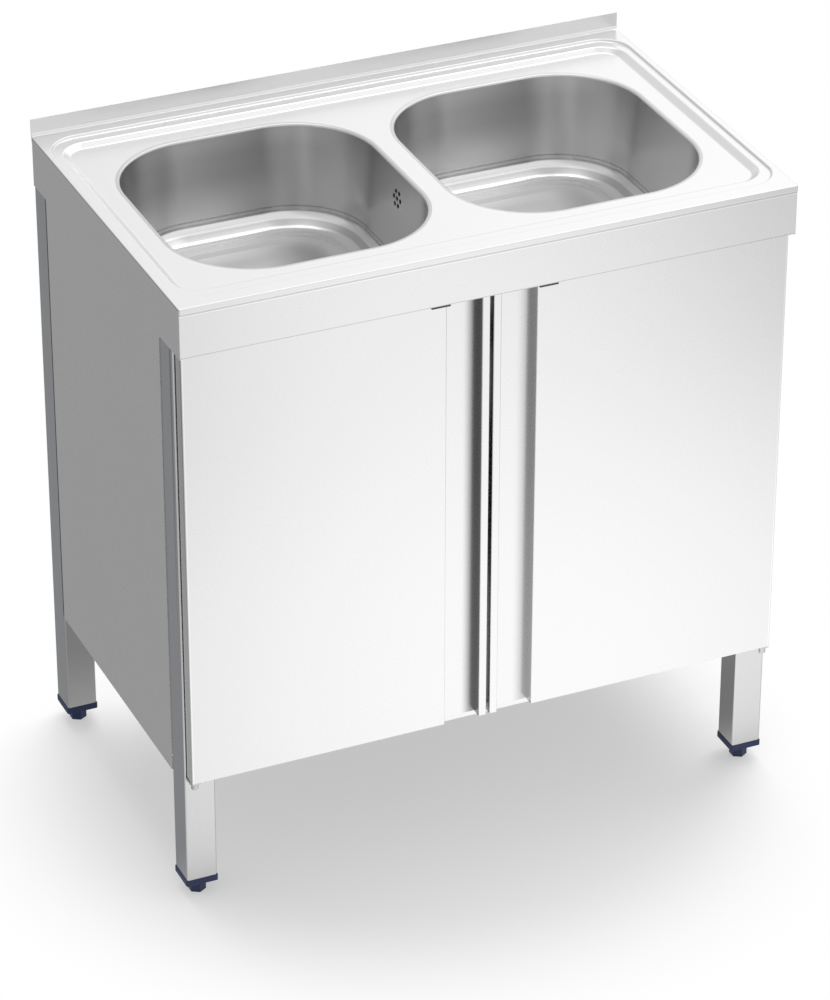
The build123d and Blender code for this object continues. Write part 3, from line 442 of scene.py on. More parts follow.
# %% Baking, rounding and riding
EDGE_ROUND, GUARD = 0.4 * MM, 1.0 * MM
EDGE_ANGLE, SMOOTH_ANGLE = math.radians(32), math.radians(50)
bodies = frame["record"]["behaviour"]["bodies"]
body_of_node = {node: body for body, nodes in bodies.items() for node in nodes}
slot_of_node = {part["node"]: part["material_slot"] for part in frame["record"]["subparts"]}


def new_piece(name, form, finish):
    """A bmesh form as an object in the scene."""
    mesh = bpy.data.meshes.new(name)
    form.to_mesh(mesh)
    form.free()
    mesh.materials.append(finish)
    piece = bpy.data.objects.new(name, mesh)
    bpy.context.scene.collection.objects.link(piece)
    return piece


def bake(piece):
    """Replace a piece's mesh by what its modifiers make of it."""
    graph = bpy.context.evaluated_depsgraph_get()
    mesh = bpy.data.meshes.new_from_object(piece.evaluated_get(graph), depsgraph=graph,
                                           preserve_all_data_layers=True)
    piece.modifiers.clear()
    piece.data = mesh
    return piece


def thicken(piece, thickness):
    """Give an open surface the thickness of its sheet, behind the side that shows."""
    wall = piece.modifiers.new("sheet", "SOLIDIFY")
    wall.thickness, wall.offset, wall.use_even_offset = thickness, -1.0, True
    return bake(piece)


def round_edges(piece, width):
    """Round every sharp edge by the same small radius."""
    edge = piece.modifiers.new("edges", "BEVEL")
    edge.width, edge.segments, edge.use_clamp_overlap = width, 2, True
    edge.limit_method, edge.angle_limit = "ANGLE", EDGE_ANGLE
    return bake(piece)


def guard_ends(form):
    """Give each long sharp edge a point near both its ends, so that rounding stays even between."""
    for edge in [item for item in form.edges if item.calc_length() > 12 * GUARD
                 and item.is_manifold and item.calc_face_angle() > EDGE_ANGLE]:
        first, last = edge.verts
        _, near = bmesh.utils.edge_split(edge, first, 2.5 * GUARD / edge.calc_length())
        rest = next(item for item in last.link_edges if near in item.verts)
        bmesh.utils.edge_split(rest, last, 2.5 * GUARD / rest.calc_length())


def settle(piece, *nodes):
    """Shade a finished piece, and let it ride and stand for its solids."""
    piece.data.shade_smooth()
    piece.data.set_sharp_from_angle(angle=SMOOTH_ANGLE)
    normals = piece.modifiers.new("normals", "WEIGHTED_NORMAL")
    normals.keep_sharp = True
    bake(piece)
    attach(piece, body_of_node[nodes[0]])
    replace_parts(piece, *nodes)
    return piece


print("bodies:", len(bodies), "solids:", len(body_of_node))

# %% [markdown]
# ## The pressed top
# The top is one sheet: folded down at its rim, and pressed down in two steps towards the bowls so
# that water runs into them. A section through it is the same all round, so the sheet is a stack of
# rounded rectangles, each a little further in. An eased corner in that section is a short arc: its
# tangent length is the radius times the tangent of half the angle that the sheet turns by.

# %% Loops, and the section of one pressed step
CORNER_STEPS, BOWL_STEPS = 20, 24


def bends(degrees, parts):
    """The angles of an arc, in equal parts from 0 to the given degrees."""
    return [math.radians(degrees) * k / parts for k in range(parts + 1)]


def rounded_loop(z, x0, x1, y0, y1, corner, steps):
    """Points of a rounded rectangle, anticlockwise from the right end of its front side."""
    points = []
    centres = ((x1 - corner, y0 + corner), (x1 - corner, y1 - corner),
               (x0 + corner, y1 - corner), (x0 + corner, y0 + corner))
    for quarter, (x, y) in enumerate(centres):
        for step in range(steps + 1):
            angle = math.radians(90 * (quarter - 1 + step / steps))
            points.append(Vector((x + corner * math.cos(angle), y + corner * math.sin(angle), z)))
    return points


def skin(form, loops):
    """Join each loop to the next with a band of faces."""
    rows = [[form.verts.new(point) for point in loop] for loop in loops]
    for lower, upper in zip(rows, rows[1:]):
        for i in range(len(lower)):
            j = (i + 1) % len(lower)
            form.faces.new((lower[i], lower[j], upper[j], upper[i]))
    return rows


def arc_between(start, turn, radius, begin_angle, parts):
    """Section points of an arc that starts level with begin_angle and turns by turn."""
    points, bend = [], math.copysign(radius, turn)
    for k in range(parts + 1):
        angle = begin_angle + turn * k / parts
        points.append((start[0] + bend * (math.sin(angle) - math.sin(begin_angle)),
                       start[1] - bend * (math.cos(angle) - math.cos(begin_angle))))
    return points


def eased_step(drop, run, radius, parts=4):
    """(inset, height) pairs of a slope from (0, 0) to (run, -drop) with both its ends eased."""
    fall = math.atan2(drop, run)
    reach = radius * math.tan(fall / 2)
    top = arc_between((-reach, 0.0), -fall, radius, 0.0, parts)
    foot = (run - reach * math.cos(fall), -drop + reach * math.sin(fall))
    return top + arc_between(foot, fall, radius, -fall, parts)


def step_loop(level_z, step, inset, height):
    """The loop of a pressed step, moved inwards by inset and up by height."""
    half_x = HALF_WIDTH - step["side"] - inset
    return rounded_loop(level_z + height, -half_x, half_x, -HALF_DEPTH + step["front"] + inset,
                        HALF_DEPTH - step["rear"] - inset, step["corner"] - inset, CORNER_STEPS)


print("a step is", len(eased_step(STEP["drop"], STEP["run"], STEP["round"])), "loops")

# %% [markdown]
# The rim comes first: round its hem, up the outside of the fold, over its bend, and one millimetre
# in, so that the flat rim keeps a flat normal. The rear edge has no bend, because the upstand
# stands on it. The two steps follow.

# %% Lay the rim and the steps
RIM_CORNER, HEM_ROUND, FOLD_ROUND = 2.0 * MM, 0.9 * MM, 1.1 * MM


def rim_loop(z, inset):
    """A loop of the outer edge; the rear side stays where it is."""
    return rounded_loop(z, -HALF_WIDTH + inset, HALF_WIDTH - inset, -HALF_DEPTH + inset,
                        HALF_DEPTH, RIM_CORNER - inset / 2, CORNER_STEPS)


top_form = bmesh.new()
loops = [rim_loop(RIM_Z - RIM_FOLD + HEM_ROUND * (1 - math.cos(a)), HEM_ROUND * (1 - math.sin(a)))
         for a in bends(90, 4)]
loops.append(rim_loop(RIM_Z - FOLD_ROUND - GUARD, 0.0))
loops += [rim_loop(RIM_Z - FOLD_ROUND * (1 - math.sin(a)), FOLD_ROUND * (1 - math.cos(a)))
          for a in bends(90, 5)]
loops.append([Vector((p.x, min(p.y, HALF_DEPTH - GUARD), p.z))
              for p in rim_loop(RIM_Z, FOLD_ROUND + GUARD)])
level_z = RIM_Z
for step in (STEP, SLOPE):
    section = eased_step(step["drop"], step["run"], step["round"])
    loops.append(step_loop(level_z, step, section[0][0] - GUARD, 0.0))
    loops += [step_loop(level_z, step, inset, height) for inset, height in section]
    level_z -= step["drop"]
    loops.append(step_loop(level_z, step, section[-1][0] + GUARD, 0.0))
rows = skin(top_form, loops)
print("the rim and the steps are", len(rows), "loops")

# %% [markdown]
# The deck is flat and has two large openings. A fill between the three outlines finds its triangles
# by itself, which is less work than quads and shows no difference on a flat sheet.

# %% Fill the deck and give the sheet its thickness
def bowl_loop(sign, inset, height):
    """The loop of a bowl's form, moved inwards by inset and up by height from the deck."""
    x = sign * BOWL_X
    return rounded_loop(DECK_Z + height, x - BOWL_HALF_X + inset, x + BOWL_HALF_X - inset,
                        -BOWL_HALF_Y + inset, BOWL_HALF_Y - inset, BOWL_CORNER - inset, BOWL_STEPS)


borders = [rows[-1]]
borders += [[top_form.verts.new(p) for p in bowl_loop(sign, -LIP_LAND, 0.0)]
            for sign in SIDES.values()]
edges = []
for border in borders:
    for pair in zip(border, border[1:] + border[:1]):
        edges.append(top_form.edges.get(pair) or top_form.edges.new(pair))
filled = bmesh.ops.triangle_fill(top_form, use_beauty=True, edges=edges, normal=(0, 0, 1))
for face in (item for item in filled["geom"] if isinstance(item, bmesh.types.BMFace)):
    face.normal_update()
    if face.normal.z < 0:
        face.normal_flip()
sink_top = thicken(new_piece("sink_top_pressed", top_form, FINISHES["sink_steel"]), SHEET)
print("sink top:", len(sink_top.data.polygons), "faces")

# %% [markdown]
# The upstand at the rear keeps water off the wall. Its section is a thin upright with a cove at its
# foot. It is drawn once and pulled along the width, then joined to the pressed sheet.

# %% The upstand, joined to the top
COVE, TOP_ROUND, END_ROUND = 5 * MM, 0.55 * MM, 0.3 * MM
front_y, middle_y = HALF_DEPTH - SHEET, HALF_DEPTH - SHEET / 2
section = [(front_y - COVE + COVE * math.sin(a), RIM_Z + COVE - COVE * math.cos(a))
           for a in bends(90, 6)]
section += [(middle_y - TOP_ROUND * math.cos(a), cad_high.z - TOP_ROUND + TOP_ROUND * math.sin(a))
            for a in bends(180, 8)]
section += [(HALF_DEPTH, RIM_Z)]
stand = bmesh.new()
ends = [[stand.verts.new((x, y, z)) for y, z in section] for x in (-HALF_WIDTH, HALF_WIDTH)]
for i in range(len(section)):
    j = (i + 1) % len(section)
    stand.faces.new((ends[0][i], ends[1][i], ends[1][j], ends[0][j]))
caps = [stand.faces.new(end) for end in ends]
bmesh.ops.recalc_face_normals(stand, faces=stand.faces)
bmesh.ops.bevel(stand, geom=[edge for cap in caps for edge in cap.edges], offset=END_ROUND,
                segments=2, profile=0.5, affect="EDGES", clamp_overlap=True)
stand.from_mesh(sink_top.data)
stand.to_mesh(sink_top.data)
stand.free()
settle(sink_top, "sink_top")
print("with the upstand:", len(sink_top.data.polygons), "faces")

# %% [markdown]
# ## Geometry Nodes: helpers
# Holes, screws and ribs repeat, so each is a small tree with named inputs. The helpers open a tree
# with its inputs, close it with Realize Instances and Set Material, and run it on a piece.

# %% Open, close and run a tree
METRES, WHOLE, PLACE = "NodeSocketFloat", "NodeSocketInt", "NodeSocketVector"
ORIGIN = (0.0, 0.0, 0.0)


def open_tree(name, inputs):
    """A tree that takes a mesh and named values; gives the wires of its inputs."""
    tree = bpy.data.node_groups.new(name, "GeometryNodeTree")
    tree.interface.new_socket("Geometry", in_out="INPUT", socket_type="NodeSocketGeometry")
    for label, (kind, value) in inputs.items():
        tree.interface.new_socket(label, in_out="INPUT", socket_type=kind).default_value = value
    tree.interface.new_socket("Finish", in_out="INPUT", socket_type="NodeSocketMaterial")
    tree.interface.new_socket("Geometry", in_out="OUTPUT", socket_type="NodeSocketGeometry")
    entry = tree.nodes.new("NodeGroupInput")
    return {socket.name: Wire(tree, socket) for socket in entry.outputs if socket.name}


def close_tree(shape, finish):
    """Make real what was instanced, give it its finish, and hand it out."""
    real = shape.node("GeometryNodeRealizeInstances", {}, shape)
    painted = shape.node("GeometryNodeSetMaterial", {}, Geometry=real, Material=finish)
    painted.node("NodeGroupOutput", {}, painted)
    print("tree:", shape.tree.name)
    return shape.tree


def run_tree(piece, tree, **values):
    """Set a tree's inputs by their identifiers, evaluate it, and keep the plain mesh."""
    modifier = piece.modifiers.new(tree.name, "NODES")
    modifier.node_group = tree
    names = {item.name: item.identifier for item in tree.interface.items_tree
             if item.in_out == "INPUT"}
    for label, value in values.items():
        modifier[names[label.replace("_", " ")]] = value
    bake(piece)
    print(tree.name, "on", piece.name, "gives", len(piece.data.polygons), "faces")
    return piece


def cylinder(place, steps, radius, depth, **more):
    """An upright cylinder about the origin."""
    return place.node("GeometryNodeMeshCylinder", {"fill_type": "NGON"}, Vertices=steps,
                      Radius=radius, Depth=depth, **more)


def circle(place, steps, radius):
    """A closed outline about the origin."""
    return place.node("GeometryNodeCurvePrimitiveCircle", {"mode": "RADIUS"}, Resolution=steps,
                      Radius=radius)


def upwards(height):
    """A vector straight up."""
    return height.node("ShaderNodeCombineXYZ", {}, 0.0, 0.0, height)


def cut(shape, cutter):
    """One geometry without another."""
    return shape.node("GeometryNodeMeshBoolean", {"operation": "DIFFERENCE", "solver": "EXACT"},
                      Mesh_1=shape, Mesh_2=cutter)


def sweep(path, outline, swell):
    """Pull an outline along a path and make it wider or narrower by swell on the way."""
    swollen = path.node("GeometryNodeSetCurveRadius", {}, Curve=path, Radius=swell)
    return path.node("GeometryNodeCurveToMesh", {}, Curve=swollen, Profile_Curve=outline,
                     Fill_Caps=True, Scale=path.node("GeometryNodeInputRadius"))


print("tree helpers ready")

# %% [markdown]
# ## Punched holes
# A punch makes a ring of equal round holes, with one more in the middle where it is wanted. The
# tree puts a cutter on each point of a ring, and takes all cutters from the piece in one boolean.

# %% The tree of punched holes
wires = open_tree("punched holes", {
    "Count": (WHOLE, 6), "Ring Radius": (METRES, 0.01), "Hole Radius": (METRES, 0.003),
    "Depth": (METRES, 0.02), "Centre": (PLACE, (0, 0, 0)), "Turn": (PLACE, (0, 0, 0)),
    "Middle Hole": (METRES, 0.003)})
sheet = wires["Geometry"]
ring = sheet.node("GeometryNodeMeshCircle", {"fill_type": "NONE"}, Vertices=wires["Count"],
                  Radius=wires["Ring Radius"])
cutter = cylinder(sheet, 32, wires["Hole Radius"], wires["Depth"])
middle = cylinder(sheet, 32, wires["Middle Hole"], wires["Depth"])
row = sheet.node("GeometryNodeInstanceOnPoints", {}, Points=ring, Instance=cutter)
joined = sheet.node("GeometryNodeJoinGeometry", {}, [row, middle])
placed = sheet.node("GeometryNodeTransform", {}, Translation=wires["Centre"],
                    Rotation=wires["Turn"],
                    Geometry=sheet.node("GeometryNodeRealizeInstances", {}, joined))
punched_holes = close_tree(cut(sheet, placed), wires["Finish"])

# %% [markdown]
# ## The bowls
# A deep-drawn bowl has no sharp edge anywhere. Its lip rolls over from the deck, and its wall leans
# in a little, so that it came off its punch. A tight round leads into a long, shallow slope, a
# wider round eases that into the edge of the floor, and a low step goes down to a shallow dish with
# the drain. A cube with its edges bevelled could stand in for it, but these rounds draw the bright
# bands on the floor, so their section is worked out, and the bowl is again a stack of loops.

# %% The section of a bowl's wall
LIP_ROUND, WALL_PARTS = 3 * MM, 6
DRAFT, SLOPE_HEAD, SLOPE_TAIL = (math.radians(angle) for angle in (5.5, 33, 31))
lean = math.radians(90) - DRAFT
ROUNDS = ((12.4 * MM, lean, SLOPE_HEAD, 8), (384 * MM, SLOPE_HEAD, SLOPE_TAIL, 4),
          (25 * MM, SLOPE_TAIL, 0.0, 8))

rounds_drop = sum(radius * (math.cos(end) - math.cos(begin)) for radius, begin, end, _ in ROUNDS)
wall_section = [(-LIP_LAND, 0.0)]
wall_section += arc_between((-LIP_ROUND * math.tan(lean / 2), 0.0), -lean, LIP_ROUND, 0.0, 8)
wall_top, foot_depth = wall_section[-1], EDGE_DEPTH - rounds_drop
wall_foot = (wall_top[0] + (foot_depth + wall_top[1]) * math.tan(DRAFT), -foot_depth)
wall_section += [tuple(a + (b - a) * k / WALL_PARTS for a, b in zip(wall_top, wall_foot))
                 for k in range(1, WALL_PARTS)] + [wall_foot]
for radius, begin, end, parts in ROUNDS:
    wall_section += arc_between(wall_section[-1], begin - end, radius, -begin, parts)[1:]
print("the wall is", len(wall_section), "loops and ends", round(wall_section[-1][0], 4), "in")

# %% [markdown]
# The dish changes from the rounded rectangle of the bowl to the round seat of the drain. Each of
# its loops is a mix of the two, and a little lower than the one before. Six overflow holes stand
# round a seventh in the wall between the bowls, where the punching tree makes them.

# %% Build the bowls
SHELF = {"land": 12 * MM, "drop": 2.0 * MM, "run": 12 * MM, "round": 20 * MM}
SEAT_R, DRAIN_R, DISH_PARTS, DISH_SAG = 38 * MM, 26 * MM, 10, 0.05
OVERFLOW_Y, OVERFLOW_Z, OVERFLOW_HOLE = -8 * MM, 797.3 * MM, 3 * MM
shelf_inset = wall_section[-1][0] + SHELF["land"]
shelf_section = eased_step(SHELF["drop"], SHELF["run"], SHELF["round"], 6)
dish_inset = shelf_inset + shelf_section[-1][0]


def seat_loop(sign, radius, z=DRAIN_Z, flat=0.3 * MM):
    """A round loop at the drain."""
    x = sign * BOWL_X
    return rounded_loop(z, x - radius, x + radius, -radius, radius, radius - flat, BOWL_STEPS)


def dish_loop(sign, part):
    """From the foot of the shelf's step (0) to the round seat of the drain (1)."""
    edge, seat = bowl_loop(sign, dish_inset, 0.0), seat_loop(sign, SEAT_R, 0.0, 0.4 * MM)
    fall = (DISH - SHELF["drop"]) * (part - DISH_SAG * math.sin(2 * math.pi * part))
    z = DECK_Z + (-EDGE_DEPTH - SHELF["drop"] - fall)
    return [Vector((a.x + (b.x - a.x) * part, a.y + (b.y - a.y) * part, z))
            for a, b in zip(edge, seat)]


for side, sign in SIDES.items():
    form = bmesh.new()
    loops = [bowl_loop(sign, inset, height) for inset, height in wall_section]
    loops += [bowl_loop(sign, shelf_inset + inset, height - EDGE_DEPTH)
              for inset, height in shelf_section]
    loops += [dish_loop(sign, k / DISH_PARTS) for k in range(1, DISH_PARTS + 1)]
    loops += [seat_loop(sign, radius) for radius in (SEAT_R - 2 * MM, DRAIN_R + 1 * MM, DRAIN_R)]
    skin(form, loops)
    bowl = thicken(new_piece(f"bowl_{side}_drawn", form, bowl_steel), SHEET)
    wall_x = sign * (BOWL_X - BOWL_HALF_X + 3 * MM)
    run_tree(bowl, punched_holes, Count=6, Ring_Radius=9.4 * MM, Hole_Radius=OVERFLOW_HOLE,
             Middle_Hole=OVERFLOW_HOLE, Depth=20 * MM, Centre=(wall_x, OVERFLOW_Y, OVERFLOW_Z),
             Turn=(math.radians(90), 0.0, math.radians(90)), Finish=bowl_steel)
    settle(bowl, f"bowl_{side}")

# %% [markdown]
# ## Strainer flanges
# Each drain is closed by a turned steel flange with a strainer cup. Turning is a section pulled
# round an axis, so the flange is a closed section spun in steps. The same punching tree then makes
# its ring of holes and the hole for the screw that holds it down.

# %% Turn the flanges, then punch them
GRID_TOP, GRID_UNDER, FLANGE_TOP = DRAIN_Z - 15 * MM, DRAIN_Z - 16.5 * MM, DRAIN_Z + 1.2 * MM
CUP_R = 25.7 * MM
CUP_INNER = CUP_R - 0.9 * MM
FLANGE_SECTION = [
    (1 * MM, GRID_TOP), (CUP_INNER - 2 * MM, GRID_TOP), (CUP_INNER - 0.5 * MM, GRID_TOP + 0.5 * MM),
    (CUP_INNER, GRID_TOP + 2 * MM), (CUP_INNER, FLANGE_TOP - 1 * MM), (CUP_R + 0.3 * MM, FLANGE_TOP),
    (34 * MM, FLANGE_TOP), (34.8 * MM, FLANGE_TOP - 0.4 * MM), (35 * MM, DRAIN_Z), (CUP_R, DRAIN_Z),
    (CUP_R, GRID_UNDER + 1 * MM), (CUP_R - 1 * MM, GRID_UNDER), (1 * MM, GRID_UNDER)]
bolt_steel = FINISHES["fitting_steel"]


def turned(form, section, x, y, steps=64):
    """Pull a closed (radius, height) section round the upright axis at (x, y)."""
    rings = [[form.verts.new((x + r * math.cos(a), y + r * math.sin(a), z)) for r, z in section]
             for a in (2 * math.pi * k / steps for k in range(steps))]
    for here, there in zip(rings, rings[1:] + rings[:1]):
        for i in range(len(section)):
            j = (i + 1) % len(section)
            form.faces.new((here[i], there[i], there[j], here[j]))
    bmesh.ops.recalc_face_normals(form, faces=form.faces)


for side, sign in SIDES.items():
    form = bmesh.new()
    turned(form, FLANGE_SECTION, sign * BOWL_X, 0.0)
    flange = new_piece(f"waste_flange_{side}_turned", form, bolt_steel)
    run_tree(flange, punched_holes, Count=8, Ring_Radius=15 * MM, Hole_Radius=4.5 * MM,
             Middle_Hole=3 * MM, Depth=8 * MM, Centre=(sign * BOWL_X, 0.0, GRID_TOP),
             Turn=ORIGIN, Finish=bolt_steel)
    settle(flange, f"waste_flange_{side}")

# %% [markdown]
# ## Screws
# All screws are one idea: a slightly domed head with a cross in it, and a shank. The tree makes one
# and sets it on every vertex of the piece it runs on, so a row of screws is a row of points.

# %% The tree of screws
wires = open_tree("screws", {
    "Head Radius": (METRES, 0.004), "Head Height": (METRES, 0.0016), "Dome": (METRES, 0.25),
    "Shank Radius": (METRES, 0.0015), "Shank Length": (METRES, 0.005), "Turn": (PLACE, (0, 0, 0))})
points, radius, height = wires["Geometry"], wires["Head Radius"], wires["Head Height"]
blank = cylinder(points, 36, radius, height, Side_Segments=6)
spot = points.node("GeometryNodeInputPosition")
rise = spot.parts()[2] / height + 0.5
shrink = 1.0 - wires["Dome"] * rise * rise * rise
domed_spot = spot.vector("MULTIPLY", spot.node("ShaderNodeCombineXYZ", {}, shrink, shrink, 1.0))
domed = points.node("GeometryNodeSetPosition", {}, Geometry=blank, Position=domed_spot)
long_side, narrow_side = radius * 1.05, radius * 0.2
bars = [points.node("GeometryNodeMeshCube", {}, points.node("ShaderNodeCombineXYZ", {}, *size))
        for size in ((long_side, narrow_side, height), (narrow_side, long_side, height))]
cross = points.node("GeometryNodeTransform", {}, Translation=upwards(height * 0.6),
                    Geometry=points.node("GeometryNodeJoinGeometry", {}, bars))
head = points.node("GeometryNodeTransform", {}, Geometry=cut(domed, cross),
                   Translation=upwards(height * 0.5))
shank = points.node("GeometryNodeTransform", {}, Translation=upwards(wires["Shank Length"] * -0.5),
                    Geometry=cylinder(points, 24, wires["Shank Radius"], wires["Shank Length"]))
set_out = points.node("GeometryNodeInstanceOnPoints", {}, Points=points, Rotation=wires["Turn"],
                      Instance=points.node("GeometryNodeJoinGeometry", {}, [head, shank]))
screws = close_tree(set_out, wires["Finish"])

# %% [markdown]
# Five screws hold the back panel, two hold each catch under the apron, and a long one in the middle
# of each strainer holds its flange down. Each row gives its points, which way the heads look, and
# the radius and length of head and shank.

# %% Set the screws on their points
def point_piece(name, places, finish):
    """A piece with only vertices, for a tree to put things on."""
    form = bmesh.new()
    for place in places:
        form.verts.new(place)
    return new_piece(name, form, finish)


def set_screws(node, name, places, turn, head, dome, shank):
    """The screws of one solid, one on each place."""
    row = point_piece(name, places, bolt_steel)
    run_tree(row, screws, Head_Radius=head[0], Head_Height=head[1], Dome=dome,
             Shank_Radius=shank[0], Shank_Length=shank[1], Turn=turn, Finish=bolt_steel)
    settle(row, node)


PANEL_ROW_Z, CATCH_ROW_Y = 814 * MM, -236 * MM
panel_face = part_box("panel_screws")[0].y
catch_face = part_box("catch_screws")[0].z
set_screws("panel_screws", "panel_screws_row",
           [(x * MM, panel_face, PANEL_ROW_Z) for x in range(-320, 321, 160)],
           (math.radians(-90), 0.0, 0.0), (4 * MM, 1.6 * MM), 0.3, (1.7 * MM, 1.0 * MM))
set_screws("catch_screws", "catch_screws_row",
           [(sign * x * MM, CATCH_ROW_Y, catch_face + 1.0 * MM)
            for sign in (-1, 1) for x in (62, 78.5)],
           (math.radians(180), 0.0, 0.0), (2.5 * MM, 1.0 * MM), 0.25, (1.2 * MM, 1.2 * MM))
set_screws("waste_screws", "waste_screws_pair",
           [(sign * BOWL_X, 0.0, GRID_TOP) for sign in (-1, 1)],
           ORIGIN, (5.5 * MM, 2.2 * MM), 0.3, (2.95 * MM, 21 * MM))

# %% [markdown]
# ## Overflow hoses
# A soft hose that has to bend without kinking is ribbed. The tree takes a path of edges, walks
# along it in small steps, and lets the radius swell and shrink as a wave of the distance walked.

# %% The tree of a ribbed hose
wires = open_tree("ribbed hose", {"Radius": (METRES, 0.01), "Rib Depth": (METRES, 0.06),
                                  "Rib Pitch": (METRES, 0.004), "Walk": (METRES, 0.0007)})
path = wires["Geometry"].node("GeometryNodeMeshToCurve", {}, wires["Geometry"])
walked = path.node("GeometryNodeResampleCurve", {"mode": "LENGTH"}, Curve=path,
                   Length=wires["Walk"])
distance = path.node("GeometryNodeSplineParameter", out=1)
wave = path.math("COSINE", distance / wires["Rib Pitch"] * (2 * math.pi))
hose_wall = sweep(walked, circle(path, 28, wires["Radius"]),
                  1.0 - wires["Rib Depth"] * (0.5 + 0.5 * wave))
ribbed_hose = close_tree(hose_wall, wires["Finish"])

# %% Lay the hoses from the waste to the overflow
HOSE_X, NIPPLE_Z, HOSE_BEND, COLLECTOR_Z = 11.4 * MM, 668 * MM, 40 * MM, 781 * MM
NIPPLE_REACH, UP = 31.5, Vector((0, 0, 1))
for side, sign in SIDES.items():
    waste = Vector((sign * BOWL_X, 0, NIPPLE_Z))
    corner = Vector((sign * HOSE_X, OVERFLOW_Y, NIPPLE_Z))
    inward = (corner - waste).normalized()
    centre = corner - inward * HOSE_BEND + UP * HOSE_BEND
    route = [waste + inward * NIPPLE_REACH * MM]
    route += [centre + inward * HOSE_BEND * math.sin(a) - UP * HOSE_BEND * math.cos(a)
              for a in bends(90, 24)]
    route.append(Vector((corner.x, corner.y, COLLECTOR_Z)))
    form = bmesh.new()
    stops = [form.verts.new(stop) for stop in route]
    for pair in zip(stops, stops[1:]):
        form.edges.new(pair)
    hose = new_piece(f"overflow_hose_{side}_ribbed", form, FINISHES["hose_rubber"])
    run_tree(hose, ribbed_hose, Radius=10 * MM, Rib_Depth=0.09, Rib_Pitch=4 * MM, Walk=0.7 * MM,
             Finish=FINISHES["hose_rubber"])
    settle(hose, f"overflow_hose_{side}")

# %% [markdown]
# ## Pipe nuts
# The nuts of plastic pipes are turned by hand, so they have ribs to grip. The tree draws a circle
# whose radius swings with the angle, and pulls it along a short line that is narrower at both ends.
# The swing is cut off before its height, which gives the ribs their flat tops.

# %% The tree of ribbed nuts
RIB_SWING, RIB_CUT, RIB_DEPTH, END_WIDTH = 1.6, 0.6, 0.025, 0.93
wires = open_tree("ribbed nuts", {"Radius": (METRES, 0.028), "Length": (METRES, 0.018),
                                  "Ribs": (WHOLE, 20), "Turn": (PLACE, (0, 0, 0))})
seats = wires["Geometry"]
share = seats.node("GeometryNodeSplineParameter")
angle = share * wires["Ribs"] * (2 * math.pi)
swing = seats.math("MINIMUM", seats.math("COSINE", angle) * RIB_SWING, RIB_CUT)
scaled = seats.node("GeometryNodeInputPosition").vector(
    "SCALE", Scale=1.0 - RIB_DEPTH + RIB_DEPTH * (swing / RIB_CUT))
star = seats.node("GeometryNodeSetPosition", {}, Geometry=circle(seats, 160, wires["Radius"]),
                  Position=scaled)
line = seats.node("GeometryNodeCurvePrimitiveLine", {}, End=upwards(wires["Length"]))
stepped = seats.node("GeometryNodeResampleCurve", {"mode": "COUNT"}, Curve=line, Count=13)
from_end = seats.math("MINIMUM", share, 1.0 - share)
nut = sweep(stepped, star, blend(from_end.ramp(0.0, 0.2), END_WIDTH, 1.0))
nut_rows = seats.node("GeometryNodeInstanceOnPoints", {}, Points=seats, Instance=nut,
                      Rotation=wires["Turn"])
ribbed_nuts = close_tree(nut_rows, wires["Finish"])

# %% Screw the nuts on their pipes
NUT_LENGTH, TEE_HALF, RUN_Z, BODY_UNDER_Z = 18 * MM, 46 * MM, 585 * MM, 652 * MM


def nuts_at(name, places, turn):
    """A nut at each place, pointing up and then turned."""
    piece = point_piece(name, places, FINISHES["pipe_plastic"])
    return run_tree(piece, ribbed_nuts, Radius=28 * MM, Length=NUT_LENGTH, Ribs=20, Turn=turn,
                    Finish=FINISHES["pipe_plastic"])


upright = nuts_at("pipe_nuts_ribbed",
                  [(sign * BOWL_X, 0.0, BODY_UNDER_Z - NUT_LENGTH) for sign in (-1, 1)], ORIGIN)
level_nuts = nuts_at("level nuts",
                     [(sign * (TEE_HALF - NUT_LENGTH / 2) - NUT_LENGTH / 2, 0.0, RUN_Z)
                      for sign in (-1, 1)], (0.0, math.radians(90), 0.0))
both = bmesh.new()
both.from_mesh(upright.data)
both.from_mesh(level_nuts.data)
both.to_mesh(upright.data)
both.free()
bpy.data.objects.remove(level_nuts)
settle(upright, "pipe_nuts")

# %% [markdown]
# ## Everything else
# The folded sheets, tubes, feet and pipes already have their true shape in the imported model. What
# they lack is the small radius that every real edge has. A copy of each mesh is merged and its flat
# faces are made whole, then its edges are rounded. The imported solid itself is never changed. The
# side panels also get their narrow folds, which close the slits beside the legs. The overflow
# collectors get the dark nylon finish as painted shade, so that the overflow holes look dark.

# %% Roundings, own finishes and the panels' folds
FLAT_ANGLE, MERGE = math.radians(0.4), 0.002 * MM
ROUNDING = {"leg_cap": 0.9 * MM, "foot": 0.7 * MM, "trap_cup": 1.2 * MM, "drain_plug": 0.8 * MM,
            "waste_body": 0.9 * MM, "magnetic_catch": 0.5 * MM, "strike_plate": 0.15 * MM,
            "hinge_pins": 0.5 * MM, "pivot_bushes": 0.2 * MM, "drain_": 0.7 * MM,
            "trap_body": 0.9 * MM}
# the apron and side panels carry painted shade; dark nylon on the overflow collectors is painted
# shade
OWN_FINISH = {"front_apron": apron_steel, "side_panel": panel_steel,
              "overflow_collector": FINISHES["dark_plastic"]}
FRONT_FOLD = ((388 * MM, 398.5 * MM), (PANEL_FRONT + 0.1 * MM, PANEL_FRONT + 1.1 * MM))
REAR_LIP = ((396 * MM, 397 * MM), (PANEL_REAR - 0.3 * MM, PANEL_REAR + 3.6 * MM))
FOLD_Z = (192 * MM, PANEL_TOP)


